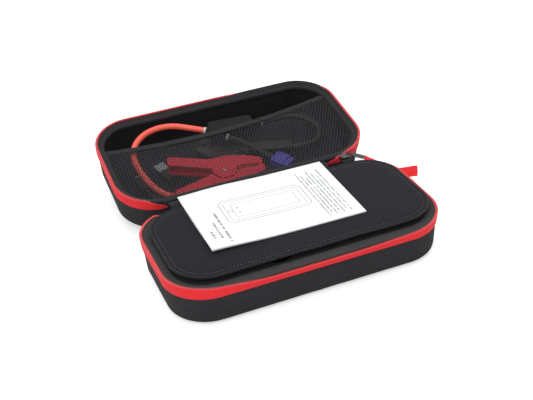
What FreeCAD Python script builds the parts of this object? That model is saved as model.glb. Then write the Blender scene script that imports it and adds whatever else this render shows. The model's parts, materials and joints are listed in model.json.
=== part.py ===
import FreeCAD, Part
import math
import os

# Zipped, moulded carrying case with a jump starter, its jump lead and a leaflet. Millimetres.
# +X runs along the case, +Y from the base toward the opened lid, +Z up. The origin is the
# centre of the base's flat underside. Lid pieces are drawn in a lid frame (u, v, w): u = X,
# v from the lid's near rim edge toward its far one, w upward from its rim plane.

V = FreeCAD.Vector

# Case
CASE_LENGTH = 266.0
CASE_WIDTH = 140.0
CASE_CORNER = 42.0
HALF_DEPTH = 41.0            # one half of the case, from its flat face to its rim
DRAFT = 2.8                  # how far a wall leans in, from the rim to the flat face
WALL = 3.0
EDGE_RADIUS = 7.0            # outside, round the flat face
LINING = 1.2
FIT = 0.3                    # gap between soft pieces
BINDING_DROP = 5.2           # the shell's edge lies this far below the rim
BINDING_THICK = 1.6
BASE_BINDING = 11.0           # width of the band that covers the base's edge
LID_BINDING = 7.6

# Zip and hinge
TAPE_WIDTH = 11.8
TAPE_THICK = 0.8
TEETH_WIDTH = 1.7
TEETH_HEIGHT = 2.0
HINGE_LENGTH = 180.0
HINGE_GAP = 15.7             # between the two rims
HINGE_THICK = 1.1
HINGE_SEW = 11.0             # height of the strip sewn on each wall
HINGE_TILT = 11.3            # the opened lid leans this much, far side up
LID_RISE = 0.65              # the hinge axis lies this far above the lid's rim plane
TAIL_LENGTH = 24.0
TAIL_THICK = 0.8
TAIL_GRIP = 2.0              # how far the tail reaches into the slider
SLIDER_LENGTH = 9.0
SLIDER_WIDTH = 8.4
SLIDER_HEIGHT = 5.2
SLIDER_SLOT = 1.6
SLIDER_PARK = 1.0            # from the hinge's end to the parked slider
SLIDER_LUG = (3.6, 0.9, 2.6)
LUG_SPACING = 3.0
LUG_REACH = 0.8              # the lugs' middle lies this far past the slider's nose
PIVOT_REACH = 1.5
PIVOT_RISE = 2.0
BARREL = (1.0, 1.8)          # radius and length of the pull's hinge roll
PULL_PLATE = (14.0, 4.0, 1.2)
PULL_NECK = 0.8
PULL_START = 3.4             # from the pull's pivot to its plate
PULL_SIDE = 2.2              # the pull hangs this far outside the slider's middle
RIBBON = (64.6, 12.0, 1.2)
PULL_YAW = -11.9
PULL_PITCH = 24.0
PULL_ROLL = 35.0

# Inner cover and leaflet
COVER_GAP_LEFT = 12.0
COVER_GAP_RIGHT = 4.4
COVER_GAP_FRONT = 12.4
COVER_GAP_BACK = 6.8
COVER_CORNER = 36.0
COVER_THICK = 2.9
PAD_MARGIN = 3.6
PIPING_RADIUS = 1.6
COVER_HINGE_LENGTH = 160.0
COVER_HINGE_THICK = 1.0
COVER_HINGE_WIDTH = 1.6
COVER_HINGE_FOOT = 2.4
LEAFLET = (148.0, 105.0, 1.4)
LEAFLET_CENTRE = (-8.75, 24.0)
LEAFLET_TURN = -0.87

# Jump starter
STARTER = (165.0, 80.0, 28.0)
STARTER_CORNER = 12.0
STARTER_EDGE = 3.0
STARTER_WALL = 2.0
STARTER_X = -29.5
TRAY_FLOOR = 4.0
WELL_LENGTH = 48.0
WELL_WIDTH = 92.0
WELL_CORNER = 14.0
FINGER_RADIUS = 14.0
FINGER_STEP = 8.0            # from the pocket's floor up to a finger notch
POCKET_FIT = 1.0
SEAM_BAND = (6.0, 0.5)
BOARD = (138.0, 62.0, 1.6)
CELL = (96.0, 58.0, 5.2)
CELL_CORNER = 4.0
CELL_GAP = 0.3
CELL_SHIFT = -8.0            # from the starter's centre
STRAP = (7.0, 0.8)
STRAP_SPACING = 6.0
BOARD_GAP = 0.6              # between the top cell and the board
BOARD_ROOM = 7.0             # height that the board, the button and its spring need above the cells
BOARD_CORNER = 3.0
BOARD_PARTS = (((10, 8, 2.2), (-48, 14)), ((6, 6, 1.4), (-30, -10)), ((14, 10, 1.8), (44, -14)),
               ((5, 9, 2.0), (-8, 18)))
BUTTON_RADIUS = 7.0
BUTTON_RISE = 0.6
BUTTON_SKIRT = 1.6           # height of the full-width cap below the case's face
BUTTON_COLLAR = (1.5, 1.0)   # how far it stands out under the case, and its thickness
BUTTON_X = 20.0              # from the starter's centre
BUTTON_SPRING = (4.4, 1.0)   # outer radius and wall
INDICATOR = (25.6, 6.6, 1.8)
HOLE_FIT = 0.2               # all round a piece in its hole
SOCKET = (14.0, 22.0, 10.4)
SOCKET_HOLE = (17.0, 8.0)
SOCKET_Y = -15.0
USB_SOCKET = (14.0, 13.6, 7.2)
USB_HOLE = (12.0, 5.0)
USB_Y = (4.8, 19.8)
SOCKET_SEAT = 1.5            # how far a socket reaches into the end wall
SOCKET_BACK = 1.0            # wall behind a socket's mouth
SOCKET_COVER = (1.6, 24.0, 14.0)
SOCKET_COVER_PLUG = 3.0
SOCKET_COVER_GRIP = (1.4, 6.0, 2.4)
LAMP_RADIUS = 9.0
LAMP_LENS = 1.6
LAMP_DEPTH = 9.0
LAMP_BACK = 3.0              # radius at the back of the reflector
LAMP_WALL = 1.0
SCREW_INSET = (15.0, 8.5)
SCREW_RADIUS = 1.5
SCREW_REACH = 8.0            # above the seam
SCREW_HEAD = (2.8, 1.8)
SCREW_SINK = 3.0             # depth of the hole that hides a head
POST_RADIUS = 3.4

# Jump lead
CLAMP_THICK = 12.4
CLAMP_CHEEK = 1.6
CLAMP_LOBE = 12.5
CLAMP_CLEARANCE = 0.3
JAW_LENGTH = 41.0
JAW_GAP = 2.6                # from the centre line to the jaw, behind its copper plate
JAW_PLATE_START = 13.5
JAW_TIP = 5.5                # length of the jaw's own nose, past the plate
JAW_ROOT = 1.2
JAW_CLOSED = 0.3             # from the centre line to the teeth
HANDLE_LENGTH = 55.0
HANDLE_SPREAD = 33.5
PIN_RADIUS = 2.0
RUNNING_FIT = 0.05
TOOTH = 2.1
CLAMP_SPRING = (4.4, 0.7)    # coil radius and wire radius
SPRING_LEG = (24.0, 16.0)
CABLE_RADIUS = 3.2
PLUG_LEAD_RADIUS = 3.0
USB_LEAD_RADIUS = 1.5
BOOT_RADIUS = 3.9
BOOT_LENGTH = 9.0
FERRULE_LENGTH = 2.4
FERRULE_WALL = 0.5
CONTENT_REST = 0.5           # from the lid's lining to the lower clamp
CONTENT_GAP = 0.4            # between the lower and the upper clamp
MODULE = (50.0, 24.0, CLAMP_THICK)
MODULE_PLACE = (14.5, 101.5, -5.0)
BATTERY_PLUG = (20.0, 17.0, 9.0)
PLUG_NOSE = 6.0
PLUG_STEP = 1.0              # the nose stands back this much beside the grip
PLUG_CONTACT = (2.5, 8.0)    # radius and length of a contact
PLUG_BORE = 2.9
PLUG_PITCH = 8.0
RED_CLAMP_PLACE = (-18.5, 33.6, -7.8)
BLACK_CLAMP_PLACE = (8.6, 72.0, 143.0)
USB_PLUG = (12.5, 12.0, 4.5)
SMALL_PLUG = (6.5, 8.4, 2.6)
USB_GRIP = (17.0, 7.0)       # length and thickness of a moulded grip
USB_GRIP_SIDE = 1.5
USB_WALL = 0.5

# Mesh pocket
MESH_THICK = 0.8
MESH_CLEARANCE = 3.4         # from the contents up to the net
ELASTIC_WIDTH = 7.0
ELASTIC_THICK = 3.4
ELASTIC_LINE = ((-124.0, 97.0), (-10.0, 88.5), (124.0, 105.0))

# Cord routes in the lid frame, chosen by hand.
RED_CABLE = [(-81.6, 18.6, -14.0), (-88.2, 27.0, -14.0), (-93.2, 38.6, -14.0), (-96.8, 52.4, -14.0),
             (-98.9, 68.0, -14.0), (-99.4, 84.2, -14.0), (-97.6, 99.0, -13.0), (-90.5, 112.2, -11.0),
             (-77.8, 122.8, -10.0), (-61.6, 127.4, -10.0), (-45.0, 124.6, -10.0),
             (-29.8, 114.2, -11.0), (-15.4, 103.8, -12.4)]
BLACK_CABLE = [(76.4, 57.8, -27.0), (90.0, 57.4, -27.0), (100.7, 63.2, -27.0), (107.1, 73.6, -26.4),
               (107.5, 85.8, -25.6), (101.7, 96.5, -24.4), (91.3, 102.9, -22.8), (78.6, 104.2, -21.0),
               (63.6, 103.0, -19.0), (48.6, 99.8, -17.4)]
PLUG_LEAD = [(5.6, 84.8, -14.4), (12.8, 76.8, -14.4), (19.6, 66.6, -14.4), (25.2, 55.4, -14.4),
             (30.4, 44.4, -14.4), (36.8, 35.2, -14.4)]
USB_LEAD = [(-63.6, 60.8, -32.2), (-60.6, 51.6, -32.2), (-62.6, 42.0, -32.2), (-70.2, 35.4, -32.2),
            (-80.2, 34.0, -32.2), (-89.4, 38.4, -32.2), (-94.8, 47.0, -32.2), (-95.4, 57.2, -32.2)]

# Worked out from the sizes above
TAPE_LOW = HALF_DEPTH - TAPE_WIDTH
SHELL_TOP = HALF_DEPTH - BINDING_DROP
HINGE_Y = CASE_WIDTH / 2 + HINGE_GAP / 2
HINGE_Z = HALF_DEPTH
COVER_LOW = HALF_DEPTH + 0.5
COVER_TOP = COVER_LOW + COVER_THICK
COVER_LENGTH = CASE_LENGTH - COVER_GAP_LEFT - COVER_GAP_RIGHT
COVER_WIDTH = CASE_WIDTH - COVER_GAP_FRONT - COVER_GAP_BACK
COVER_X = (COVER_GAP_LEFT - COVER_GAP_RIGHT) / 2
COVER_Y = (COVER_GAP_FRONT - COVER_GAP_BACK) / 2
PAD_LOW = SHELL_TOP + BINDING_THICK + FIT
TRAY_TOP = SHELL_TOP - FIT
TRAY_LOW = WALL + FIT
POCKET_LOW = TRAY_LOW + TRAY_FLOOR
STARTER_LOW = POCKET_LOW + FIT
STARTER_HIGH = STARTER_LOW + STARTER[2]
STARTER_SEAM = (STARTER_LOW + STARTER_HIGH) / 2
STARTER_END = STARTER_X + STARTER[0] / 2
LINING_DEPTH = TAPE_THICK + WALL + FIT
LINING_FLOOR = WALL + FIT + LINING
LOWER_CLAMP_TOP = LINING_FLOOR - HALF_DEPTH + CONTENT_REST + CLAMP_THICK
CONTENT_TOP = LOWER_CLAMP_TOP + CONTENT_GAP + CLAMP_THICK
MESH_W = CONTENT_TOP + MESH_CLEARANCE
CELL_COUNT = int((STARTER[2] - 2 * STARTER_WALL - BOARD_ROOM) / (CELL[2] + CELL_GAP))


# Basic forms

def polar(radius, degrees):
    """Point on a level circle round the origin."""
    return V(radius * math.cos(math.radians(degrees)), radius * math.sin(math.radians(degrees)), 0)


def outline(length, width, corner, z=0.0, x=0.0, y=0.0):
    """Level rounded rectangle as a closed wire."""
    quarters = [(1, 1), (-1, 1), (-1, -1), (1, -1)]
    arcs = []
    for number, (sign_x, sign_y) in enumerate(quarters):
        centre = V(x + sign_x * (length / 2 - corner), y + sign_y * (width / 2 - corner), z)
        arcs.append([centre + polar(corner, 90 * number + turn) for turn in (0, 45, 90)])
    edges = []
    for number, (start, middle, end) in enumerate(arcs):
        following = arcs[(number + 1) % 4][0]
        edges.append(Part.Arc(start, middle, end).toShape())
        if end.distanceToPoint(following) > 1e-6:
            edges.append(Part.makeLine(end, following))
    return Part.Wire(edges)


def slab(length, width, corner, z_low, z_high, x=0.0, y=0.0):
    """Upright block with rounded vertical corners."""
    face = Part.Face(outline(length, width, corner, z_low, x, y))
    return face.extrude(V(0, 0, z_high - z_low))


def box(size, centre):
    """Plain block, placed by its centre."""
    return Part.makeBox(*size, V(*centre) - V(*size) * 0.5)


def rod(radius, start, end):
    """Round bar between two points."""
    start, end = V(*start), V(*end)
    return Part.makeCylinder(radius, (end - start).Length, start, end - start)


def prism(points, axis, low, high):
    """Flat outline of (a, b) pairs, extruded along X or Z from low to high."""
    if axis == "X":
        corners = [V(low, a, b) for a, b in points]
        direction = V(high - low, 0, 0)
    else:
        corners = [V(a, b, low) for a, b in points]
        direction = V(0, 0, high - low)
    return Part.Face(Part.makePolygon(corners + corners[:1])).extrude(direction)


def rounded_prism(points, radii, low, high):
    """Level outline with its corners rounded as arcs, extruded upward."""
    corners = [V(*point, low) for point in points]
    count = len(corners)
    edges, ends = [], []
    for number, radius in enumerate(radii):
        before, after = corners[number - 1], corners[(number + 1) % count]
        ends.append(rounded_corner(before, corners[number], after, radius))
    for number, (start, middle, end) in enumerate(ends):
        edges.append(Part.Arc(start, middle, end).toShape())
        edges.append(Part.makeLine(end, ends[(number + 1) % count][0]))
    return Part.Face(Part.Wire(edges)).extrude(V(0, 0, high - low))


def rounded_corner(before, corner, after, radius):
    """Start, middle and end of the arc that rounds one corner of a path."""
    incoming = (corner - before).normalize()
    outgoing = (after - corner).normalize()
    half_turn = incoming.getAngle(outgoing) / 2
    reach = radius * math.tan(half_turn)
    inward = (outgoing - incoming).normalize()
    middle = corner + inward * (radius / math.cos(half_turn) - radius)
    return corner - incoming * reach, middle, corner + outgoing * reach


def edges_at(shape, z):
    """Edges that lie level at one height."""
    return [edge for edge in shape.Edges
            if max(abs(edge.BoundBox.ZMin - z), abs(edge.BoundBox.ZMax - z)) < 1e-4]


def cord(name, points, radius):
    """Tube of straight runs joined by tangent arcs."""
    points = [V(*point) for point in points]
    edges, start, tightest = [], points[0], None
    for before, corner, after in zip(points, points[1:], points[2:]):
        shorter = min((corner - before).Length, (after - corner).Length)
        turn = (corner - before).getAngle(after - corner)
        bend = 0.45 * shorter / math.tan(turn / 2)
        arc_start, middle, arc_end = rounded_corner(before, corner, after, bend)
        edges.append(Part.makeLine(start, arc_start))
        edges.append(Part.Arc(arc_start, middle, arc_end).toShape())
        start = arc_end
        tightest = min(bend, tightest or bend)
    edges.append(Part.makeLine(start, points[-1]))
    path = Part.Wire(edges)
    heading = points[1] - points[0]
    section = Part.Wire(Part.makeCircle(radius, points[0], heading))
    tube = path.makePipeShell([section], True, False)
    share = tube.Volume / (math.pi * radius ** 2 * path.Length)
    print(f"{name}: length {path.Length:.1f}, tightest bend {tightest:.1f}, volume share {share:.4f}")
    return tube


# Case halves, drawn rim up round the origin with the hinge on +Y

def wall_inset(z):
    """How far a half's wall lies inside its rim at a height."""
    return DRAFT * (HALF_DEPTH - z) / HALF_DEPTH


def case_outline(depth, z):
    """Outline of a half at a height, a given depth inside its outer face."""
    inset = wall_inset(z) + depth
    return outline(CASE_LENGTH - 2 * inset, CASE_WIDTH - 2 * inset, CASE_CORNER - inset, z)


def case_block(depth, z_low, z_high, floor_radius=0.0):
    """Solid that fills a half up to a depth inside its outer face."""
    block = Part.makeLoft([case_outline(depth, z_low), case_outline(depth, z_high)], True, True)
    return block.makeFillet(floor_radius, edges_at(block, z_low)) if floor_radius else block


def case_ring(outer, inner, z_low, z_high):
    """Band round a half between two depths."""
    return case_block(outer, z_low, z_high).cut(case_block(inner, z_low, z_high))


def hinge_opening():
    """Space along the hinge side that the zip leaves free."""
    corner = V(-HINGE_LENGTH / 2, CASE_WIDTH / 4, 0)
    return Part.makeBox(HINGE_LENGTH, CASE_WIDTH / 2, 2 * HALF_DEPTH, corner)


def shell_half():
    """Moulded shell."""
    outer = case_block(TAPE_THICK, 0, SHELL_TOP, EDGE_RADIUS)
    return outer.cut(case_block(TAPE_THICK + WALL, WALL, SHELL_TOP, EDGE_RADIUS - WALL))


def binding_half(width):
    """Flat band that covers the shell's edge, with its inner edge rounded."""
    top = SHELL_TOP + BINDING_THICK
    band = case_ring(TAPE_THICK, TAPE_THICK + width, SHELL_TOP, top)
    reach_x, reach_y = CASE_LENGTH / 2 - width, CASE_WIDTH / 2 - width
    inner = [edge for edge in edges_at(band, top)
             if max(abs(edge.BoundBox.XMin), abs(edge.BoundBox.XMax)) < reach_x
             and max(abs(edge.BoundBox.YMin), abs(edge.BoundBox.YMax)) < reach_y]
    return band.makeFillet(BINDING_THICK / 2, inner)


def zip_tape_half():
    """Zip tape, sewn round the outside of the wall."""
    return case_ring(0, TAPE_THICK, TAPE_LOW, HALF_DEPTH).cut(hinge_opening())


def zip_teeth_half():
    """Coil of teeth along the tape's free edge."""
    coil = case_ring(TAPE_THICK, TAPE_THICK + TEETH_WIDTH, HALF_DEPTH - TEETH_HEIGHT, HALF_DEPTH)
    return coil.cut(hinge_opening())


def zip_tail():
    """Stub of tape past the corner that the parked slider holds."""
    edge_y = HINGE_Y - SLIDER_WIDTH / 2 + TAIL_GRIP
    corner = V(HINGE_LENGTH / 2, edge_y - CASE_WIDTH / 4, HINGE_Z - TAIL_THICK)
    stub = Part.makeBox(TAIL_LENGTH, CASE_WIDTH / 4, TAIL_THICK, corner)
    return stub.cut(case_block(0, HINGE_Z - 2 * TAIL_THICK, HINGE_Z))


def wall_y(depth, z):
    """Y of the hinge side's wall at a height."""
    return CASE_WIDTH / 2 - wall_inset(z) - depth


def hinge_half(drop):
    """Fabric from the wall out to the hinge axis, whose edge stays below the axis by drop."""
    low, high = SHELL_TOP - HINGE_SEW + BINDING_DROP, SHELL_TOP
    edge_y, edge_z = HINGE_Y - FIT, HINGE_Z - drop
    profile = [(wall_y(TAPE_THICK, low), low), (wall_y(TAPE_THICK, high), high), (edge_y, edge_z),
               (edge_y, edge_z - HINGE_THICK), (wall_y(0, high - HINGE_THICK), high - 2 * HINGE_THICK),
               (wall_y(0, low), low)]
    return prism(profile, "X", -HINGE_LENGTH / 2, HINGE_LENGTH / 2)


def to_lid(shape):
    """Move a shape from the lid frame to its place on the opened lid."""
    tilt = FreeCAD.Rotation(V(1, 0, 0), HINGE_TILT)
    rim_edge = V(0, HINGE_Y, HINGE_Z) + tilt.multVec(V(0, HINGE_GAP / 2, -LID_RISE))
    placed = shape.copy()
    placed.rotate(V(0, 0, 0), V(1, 0, 0), HINGE_TILT)
    placed.translate(rim_edge)
    return placed


def lid_frame(shape):
    """Turn a case half round, so that its hinge side is the lid's near rim."""
    turned = shape.copy()
    turned.rotate(V(0, 0, 0), V(0, 0, 1), 180)
    turned.translate(V(0, CASE_WIDTH / 2, -HALF_DEPTH))
    return turned


def base_half():
    """Shell, binding, zip and hinge of the base."""
    return {"base_shell": shell_half(), "base_binding": binding_half(BASE_BINDING),
            "base_zip_tape": zip_tape_half().fuse(zip_tail()).removeSplitter(),
            "base_zip_teeth": zip_teeth_half(), "base_hinge": hinge_half(FIT)}


def lid_lining():
    """Thin lining inside the lid's shell."""
    outer = case_block(LINING_DEPTH, WALL + FIT, TRAY_TOP, EDGE_RADIUS - WALL)
    inner_radius = EDGE_RADIUS - WALL - LINING
    return outer.cut(case_block(LINING_DEPTH + LINING, LINING_FLOOR, TRAY_TOP, inner_radius))


def lid_half():
    """The same pieces on the lid, with its lining."""
    pieces = {"lid_shell": shell_half(), "lid_binding": binding_half(LID_BINDING),
              "lid_zip_tape": zip_tape_half(), "lid_zip_teeth": zip_teeth_half(),
              "lid_hinge": hinge_half(FIT - LID_RISE), "lid_lining": lid_lining()}
    return {name: to_lid(lid_frame(shape)) for name, shape in pieces.items()}


# Zip slider and pull

def zip_slider():
    """Slider, open on one side where it straddles the tape's tail."""
    x, y = HINGE_LENGTH / 2 + SLIDER_PARK + SLIDER_LENGTH / 2, HINGE_Y
    z_mid = HINGE_Z - TAIL_THICK / 2
    z_low, z_high = z_mid - SLIDER_HEIGHT / 2, z_mid + SLIDER_HEIGHT / 2
    body = slab(SLIDER_LENGTH, SLIDER_WIDTH, 2.0, z_low, z_high, x, y)
    slot = box((2 * SLIDER_LENGTH, SLIDER_WIDTH, SLIDER_SLOT), (x, y - SLIDER_WIDTH / 2, z_mid))
    body = body.cut(slot)
    pivot = pull_pivot()
    for side in (-1, 1):
        lug_y = pivot.y + side * LUG_SPACING / 2
        body = body.fuse(box(SLIDER_LUG, (x + SLIDER_LENGTH / 2 + LUG_REACH, lug_y, pivot.z)))
    return body.removeSplitter()


def pull_pivot():
    """Centre of the pull's hinge on the slider."""
    x = HINGE_LENGTH / 2 + SLIDER_PARK + SLIDER_LENGTH + PIVOT_REACH
    return V(x, HINGE_Y + PULL_SIDE, HINGE_Z + PIVOT_RISE)


def place_pull(shape):
    """Turn a piece drawn along +X from the pivot into the hanging pull's direction."""
    shape.rotate(V(0, 0, 0), V(1, 0, 0), PULL_ROLL)
    shape.rotate(V(0, 0, 0), V(0, 1, 0), PULL_PITCH)
    shape.rotate(V(0, 0, 0), V(0, 0, 1), PULL_YAW)
    shape.translate(pull_pivot())
    return shape


def zip_pull():
    """Metal plate with its barrel, and the fabric ribbon sewn on it."""
    length, width, thick = PULL_PLATE
    plate = slab(length, width, 1.5, -thick / 2, thick / 2, PULL_START + length / 2)
    neck = box((PULL_START, PULL_NECK, thick), (PULL_START / 2 + thick / 2, 0, 0))
    radius, roll = BARREL
    barrel = rod(radius, (0, -roll / 2, 0), (0, roll / 2, 0))
    barrel.translate(pull_pivot())
    plate = place_pull(plate.fuse(neck)).fuse(barrel).removeSplitter()
    length_r, width_r, thick_r = RIBBON
    ribbon = slab(length_r, width_r, 1.0, -thick_r / 2, thick_r / 2, PULL_START + length + length_r / 2)
    return {"zip_pull_plate": plate, "zip_pull_ribbon": place_pull(ribbon)}


# Inner cover and leaflet

def cover_slab(margin, z_low, z_high):
    """Level layer of the cover, a margin inside its outline."""
    length, width = COVER_LENGTH - 2 * margin, COVER_WIDTH - 2 * margin
    return slab(length, width, COVER_CORNER - margin, z_low, z_high, COVER_X, COVER_Y)


def cover_piping():
    """Round cord sewn along the cover's edge."""
    length, width = COVER_LENGTH - 2 * PIPING_RADIUS, COVER_WIDTH - 2 * PIPING_RADIUS
    middle = (COVER_LOW + COVER_TOP) / 2
    path = outline(length, width, COVER_CORNER - PIPING_RADIUS, middle, COVER_X, COVER_Y)
    side = path.Edges[1]
    heading = side.tangentAt(side.FirstParameter)
    section = Part.Wire(Part.makeCircle(PIPING_RADIUS, side.Vertexes[0].Point, heading))
    return path.makePipeShell([section], True, True)


def cover_hinges():
    """Fabric that hinges the cover, and the strip that anchors it on the rim."""
    left, back = -COVER_HINGE_LENGTH / 2, COVER_Y + COVER_WIDTH / 2
    low, high = SHELL_TOP + BINDING_THICK, COVER_LOW - 2 * FIT
    strip = Part.makeBox(COVER_HINGE_LENGTH, COVER_HINGE_WIDTH, COVER_HINGE_THICK,
                         V(left, back, COVER_LOW + FIT))
    foot = Part.makeBox(COVER_HINGE_LENGTH, COVER_HINGE_FOOT, high - low, V(left, back, low))
    return {"cover_hinge_strip": strip, "cover_hinge_base": foot}


def cover():
    """Padded cover that closes the base."""
    skin = cover_slab(2 * PIPING_RADIUS, COVER_LOW, COVER_TOP)
    pad = cover_slab(2 * PIPING_RADIUS + PAD_MARGIN, PAD_LOW, COVER_LOW)
    return {"cover_skin": skin, "cover_pad": pad, "cover_piping": cover_piping()}


def leaflet():
    """Folded leaflet that lies on the cover."""
    piping_top = (COVER_LOW + COVER_TOP) / 2 + PIPING_RADIUS
    sheet = box(LEAFLET, (0, 0, piping_top + FIT + LEAFLET[2] / 2))
    sheet.rotate(V(0, 0, 0), V(0, 0, 1), LEAFLET_TURN)
    sheet.translate(V(*LEAFLET_CENTRE, 0))
    return sheet


# Tray and jump starter

def base_tray():
    """Foam tray with a pocket for the starter, finger notches and a well."""
    low, high = POCKET_LOW, TRAY_TOP
    length, width = STARTER[0] + 2 * POCKET_FIT, STARTER[1] + 2 * POCKET_FIT
    foam = case_block(LINING_DEPTH, TRAY_LOW, high, EDGE_RADIUS - WALL)
    pocket = slab(length, width, STARTER_CORNER + POCKET_FIT, low, high, STARTER_X)
    well_x = STARTER_END + 2 * POCKET_FIT + WELL_LENGTH / 2
    well = slab(WELL_LENGTH, WELL_WIDTH, WELL_CORNER, low, high, well_x)
    straight = STARTER[1] - 2 * STARTER_CORNER
    passage = box((WELL_CORNER, straight, high - low),
                  (STARTER_END - 2 * POCKET_FIT + WELL_CORNER / 2, 0, (low + high) / 2))
    foam = foam.cut(pocket).cut(well).cut(passage)
    for side in (-1, 1):
        foam = foam.cut(rod(FINGER_RADIUS, (STARTER_X, side * STARTER[1] / 2, low + FINGER_STEP),
                            (STARTER_X, side * STARTER[1] / 2, high)))
    return foam


def starter_block(depth, z_low, z_high):
    """Solid that fills the starter's outline up to a depth inside its side walls."""
    length, width = STARTER[0] - 2 * depth, STARTER[1] - 2 * depth
    return slab(length, width, STARTER_CORNER - depth, z_low, z_high, STARTER_X)


def band_ring():
    """Ring round the housing's seam that the rubber band fills."""
    height, depth = SEAM_BAND
    low, high = STARTER_SEAM - height / 2, STARTER_SEAM + height / 2
    return starter_block(0, low, high).cut(starter_block(depth, low, high))


def starter_half(face_z, wall_z):
    """Half of the starter's housing from its flat face to the seam, and hollow from wall_z on."""
    low, high = min(face_z, STARTER_SEAM), max(face_z, STARTER_SEAM)
    outer = starter_block(0, low, high)
    outer = outer.makeFillet(STARTER_EDGE, edges_at(outer, face_z))
    inner = starter_block(STARTER_WALL, min(wall_z, STARTER_SEAM), max(wall_z, STARTER_SEAM))
    return outer.cut(inner).cut(band_ring())


def socket_places():
    """Centres of the output socket and the two USB sockets, on the starter's end."""
    return (V(STARTER_END, SOCKET_Y, STARTER_SEAM), [V(STARTER_END, y, STARTER_SEAM) for y in USB_Y])


def socket_block(size, hole, place):
    """Block behind an end hole, with the socket's own mouth."""
    middle = place.x - STARTER_WALL + SOCKET_SEAT - size[0] / 2
    body = box(size, (middle, place.y, place.z))
    mouth = box((size[0], *hole), (middle + SOCKET_BACK, place.y, place.z))
    return body.cut(mouth)


def end_openings():
    """Holes in the starter's end walls for its sockets and lamp."""
    output, usb = socket_places()
    face = STARTER_X - STARTER[0] / 2
    reach = 3 * STARTER_WALL
    lamp_hole = rod(LAMP_RADIUS + HOLE_FIT / 2, (face - 1, 0, STARTER_SEAM), (face + reach, 0, STARTER_SEAM))
    holes = lamp_hole.fuse(box((reach, SOCKET[1] + HOLE_FIT, SOCKET[2] + HOLE_FIT), output))
    for place in usb:
        holes = holes.fuse(box((reach, USB_SOCKET[1] + HOLE_FIT, USB_SOCKET[2] + HOLE_FIT), place))
    return holes


def screw_places():
    """Screws in the starter's four corners."""
    reach_x, reach_y = STARTER[0] / 2 - SCREW_INSET[0], STARTER[1] / 2 - SCREW_INSET[1]
    return [(STARTER_X + side * reach_x, end * reach_y) for side in (-1, 1) for end in (-1, 1)]


def starter_housing():
    """Lower and upper case with their screw posts and openings."""
    low, high, seam, wall = STARTER_LOW, STARTER_HIGH, STARTER_SEAM, STARTER_WALL
    lower = starter_half(low, low + wall)
    upper = starter_half(high, high - wall)
    for x, y in screw_places():
        lower = lower.fuse(rod(POST_RADIUS, (x, y, low + wall), (x, y, seam)))
        lower = lower.cut(rod(SCREW_RADIUS + HOLE_FIT / 2, (x, y, low), (x, y, seam)))
        lower = lower.cut(rod(SCREW_HEAD[0] + HOLE_FIT, (x, y, low), (x, y, low + SCREW_SINK)))
        upper = upper.fuse(rod(POST_RADIUS, (x, y, seam), (x, y, high - wall)))
        upper = upper.cut(rod(SCREW_RADIUS, (x, y, seam), (x, y, seam + SCREW_REACH + 1)))
    x = STARTER_X + BUTTON_X
    upper = upper.cut(rod(BUTTON_RADIUS + HOLE_FIT, (x, 0, high - 2 * wall), (x, 0, high + 1)))
    length, width, corner = (size + 2 * HOLE_FIT for size in INDICATOR)
    upper = upper.cut(slab(length, width, corner - HOLE_FIT, high - wall, high, STARTER_X - BUTTON_X))
    return {"starter_lower_case": lower.cut(end_openings()).removeSplitter(),
            "starter_upper_case": upper.cut(end_openings()).removeSplitter()}


def starter_screws():
    """Four screws, heads below."""
    screws = []
    for x, y in screw_places():
        seat = STARTER_LOW + SCREW_SINK
        radius, height = SCREW_HEAD
        shank = rod(SCREW_RADIUS, (x, y, seat), (x, y, STARTER_SEAM + SCREW_REACH))
        head = rod(radius, (x, y, seat - height), (x, y, seat))
        screws.append(head.fuse(shank))
    return Part.makeCompound(screws)


def starter_lamp():
    """Reflector cup and flat lens at the starter's end."""
    face = STARTER_X - STARTER[0] / 2
    rim = V(face + LAMP_LENS, 0, STARTER_SEAM)
    lens = rod(LAMP_RADIUS, (face, 0, STARTER_SEAM), rim)
    cup = Part.makeCone(LAMP_RADIUS, LAMP_BACK, LAMP_DEPTH, rim, V(1, 0, 0))
    bowl = Part.makeCone(LAMP_RADIUS - LAMP_WALL, LAMP_BACK - LAMP_WALL, LAMP_DEPTH - LAMP_WALL,
                         rim, V(1, 0, 0))
    return {"starter_lamp_lens": lens, "starter_lamp_reflector": cup.cut(bowl)}


def cell_bottom():
    """Height of the lowest cell's underside."""
    return STARTER_LOW + STARTER_WALL + HOLE_FIT


def starter_cells():
    """Flat cells in a stack, joined by straps to the output socket."""
    length, width, thick = CELL
    x = STARTER_X + CELL_SHIFT
    cells = []
    for number in range(CELL_COUNT):
        low = cell_bottom() + number * (thick + CELL_GAP)
        cells.append(slab(length, width, CELL_CORNER, low, low + thick, x))
    start, end = x + length / 2, STARTER_END - STARTER_WALL - SOCKET[0] + SOCKET_SEAT
    middle = (start + end) / 2
    straps = [box((end - start, *STRAP), (middle, SOCKET_Y, STARTER_SEAM + side * STRAP_SPACING / 2))
              for side in (-1, 1)]
    return {"starter_cells": Part.makeCompound(cells), "starter_cell_straps": Part.makeCompound(straps)}


def board_top():
    """Height of the circuit board's upper face."""
    above_cells = cell_bottom() + CELL_COUNT * (CELL[2] + CELL_GAP) + BOARD_GAP
    above_socket = STARTER_SEAM + SOCKET[2] / 2 + HOLE_FIT / 2
    return max(above_cells, above_socket) + BOARD[2]


def starter_board():
    """Circuit board above the cells, on two side ledges, with its larger parts."""
    length, width, thick = BOARD
    top = board_top()
    board = slab(length, width, BOARD_CORNER, top - thick, top, STARTER_X)
    for size, (x, y) in BOARD_PARTS:
        board = board.fuse(box(size, (STARTER_X + x, y, top + size[2] / 2)))
    for x, y in screw_places():
        board = board.cut(rod(POST_RADIUS + 2 * HOLE_FIT, (x, y, 0), (x, y, 2 * top)))
    return board


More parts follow.
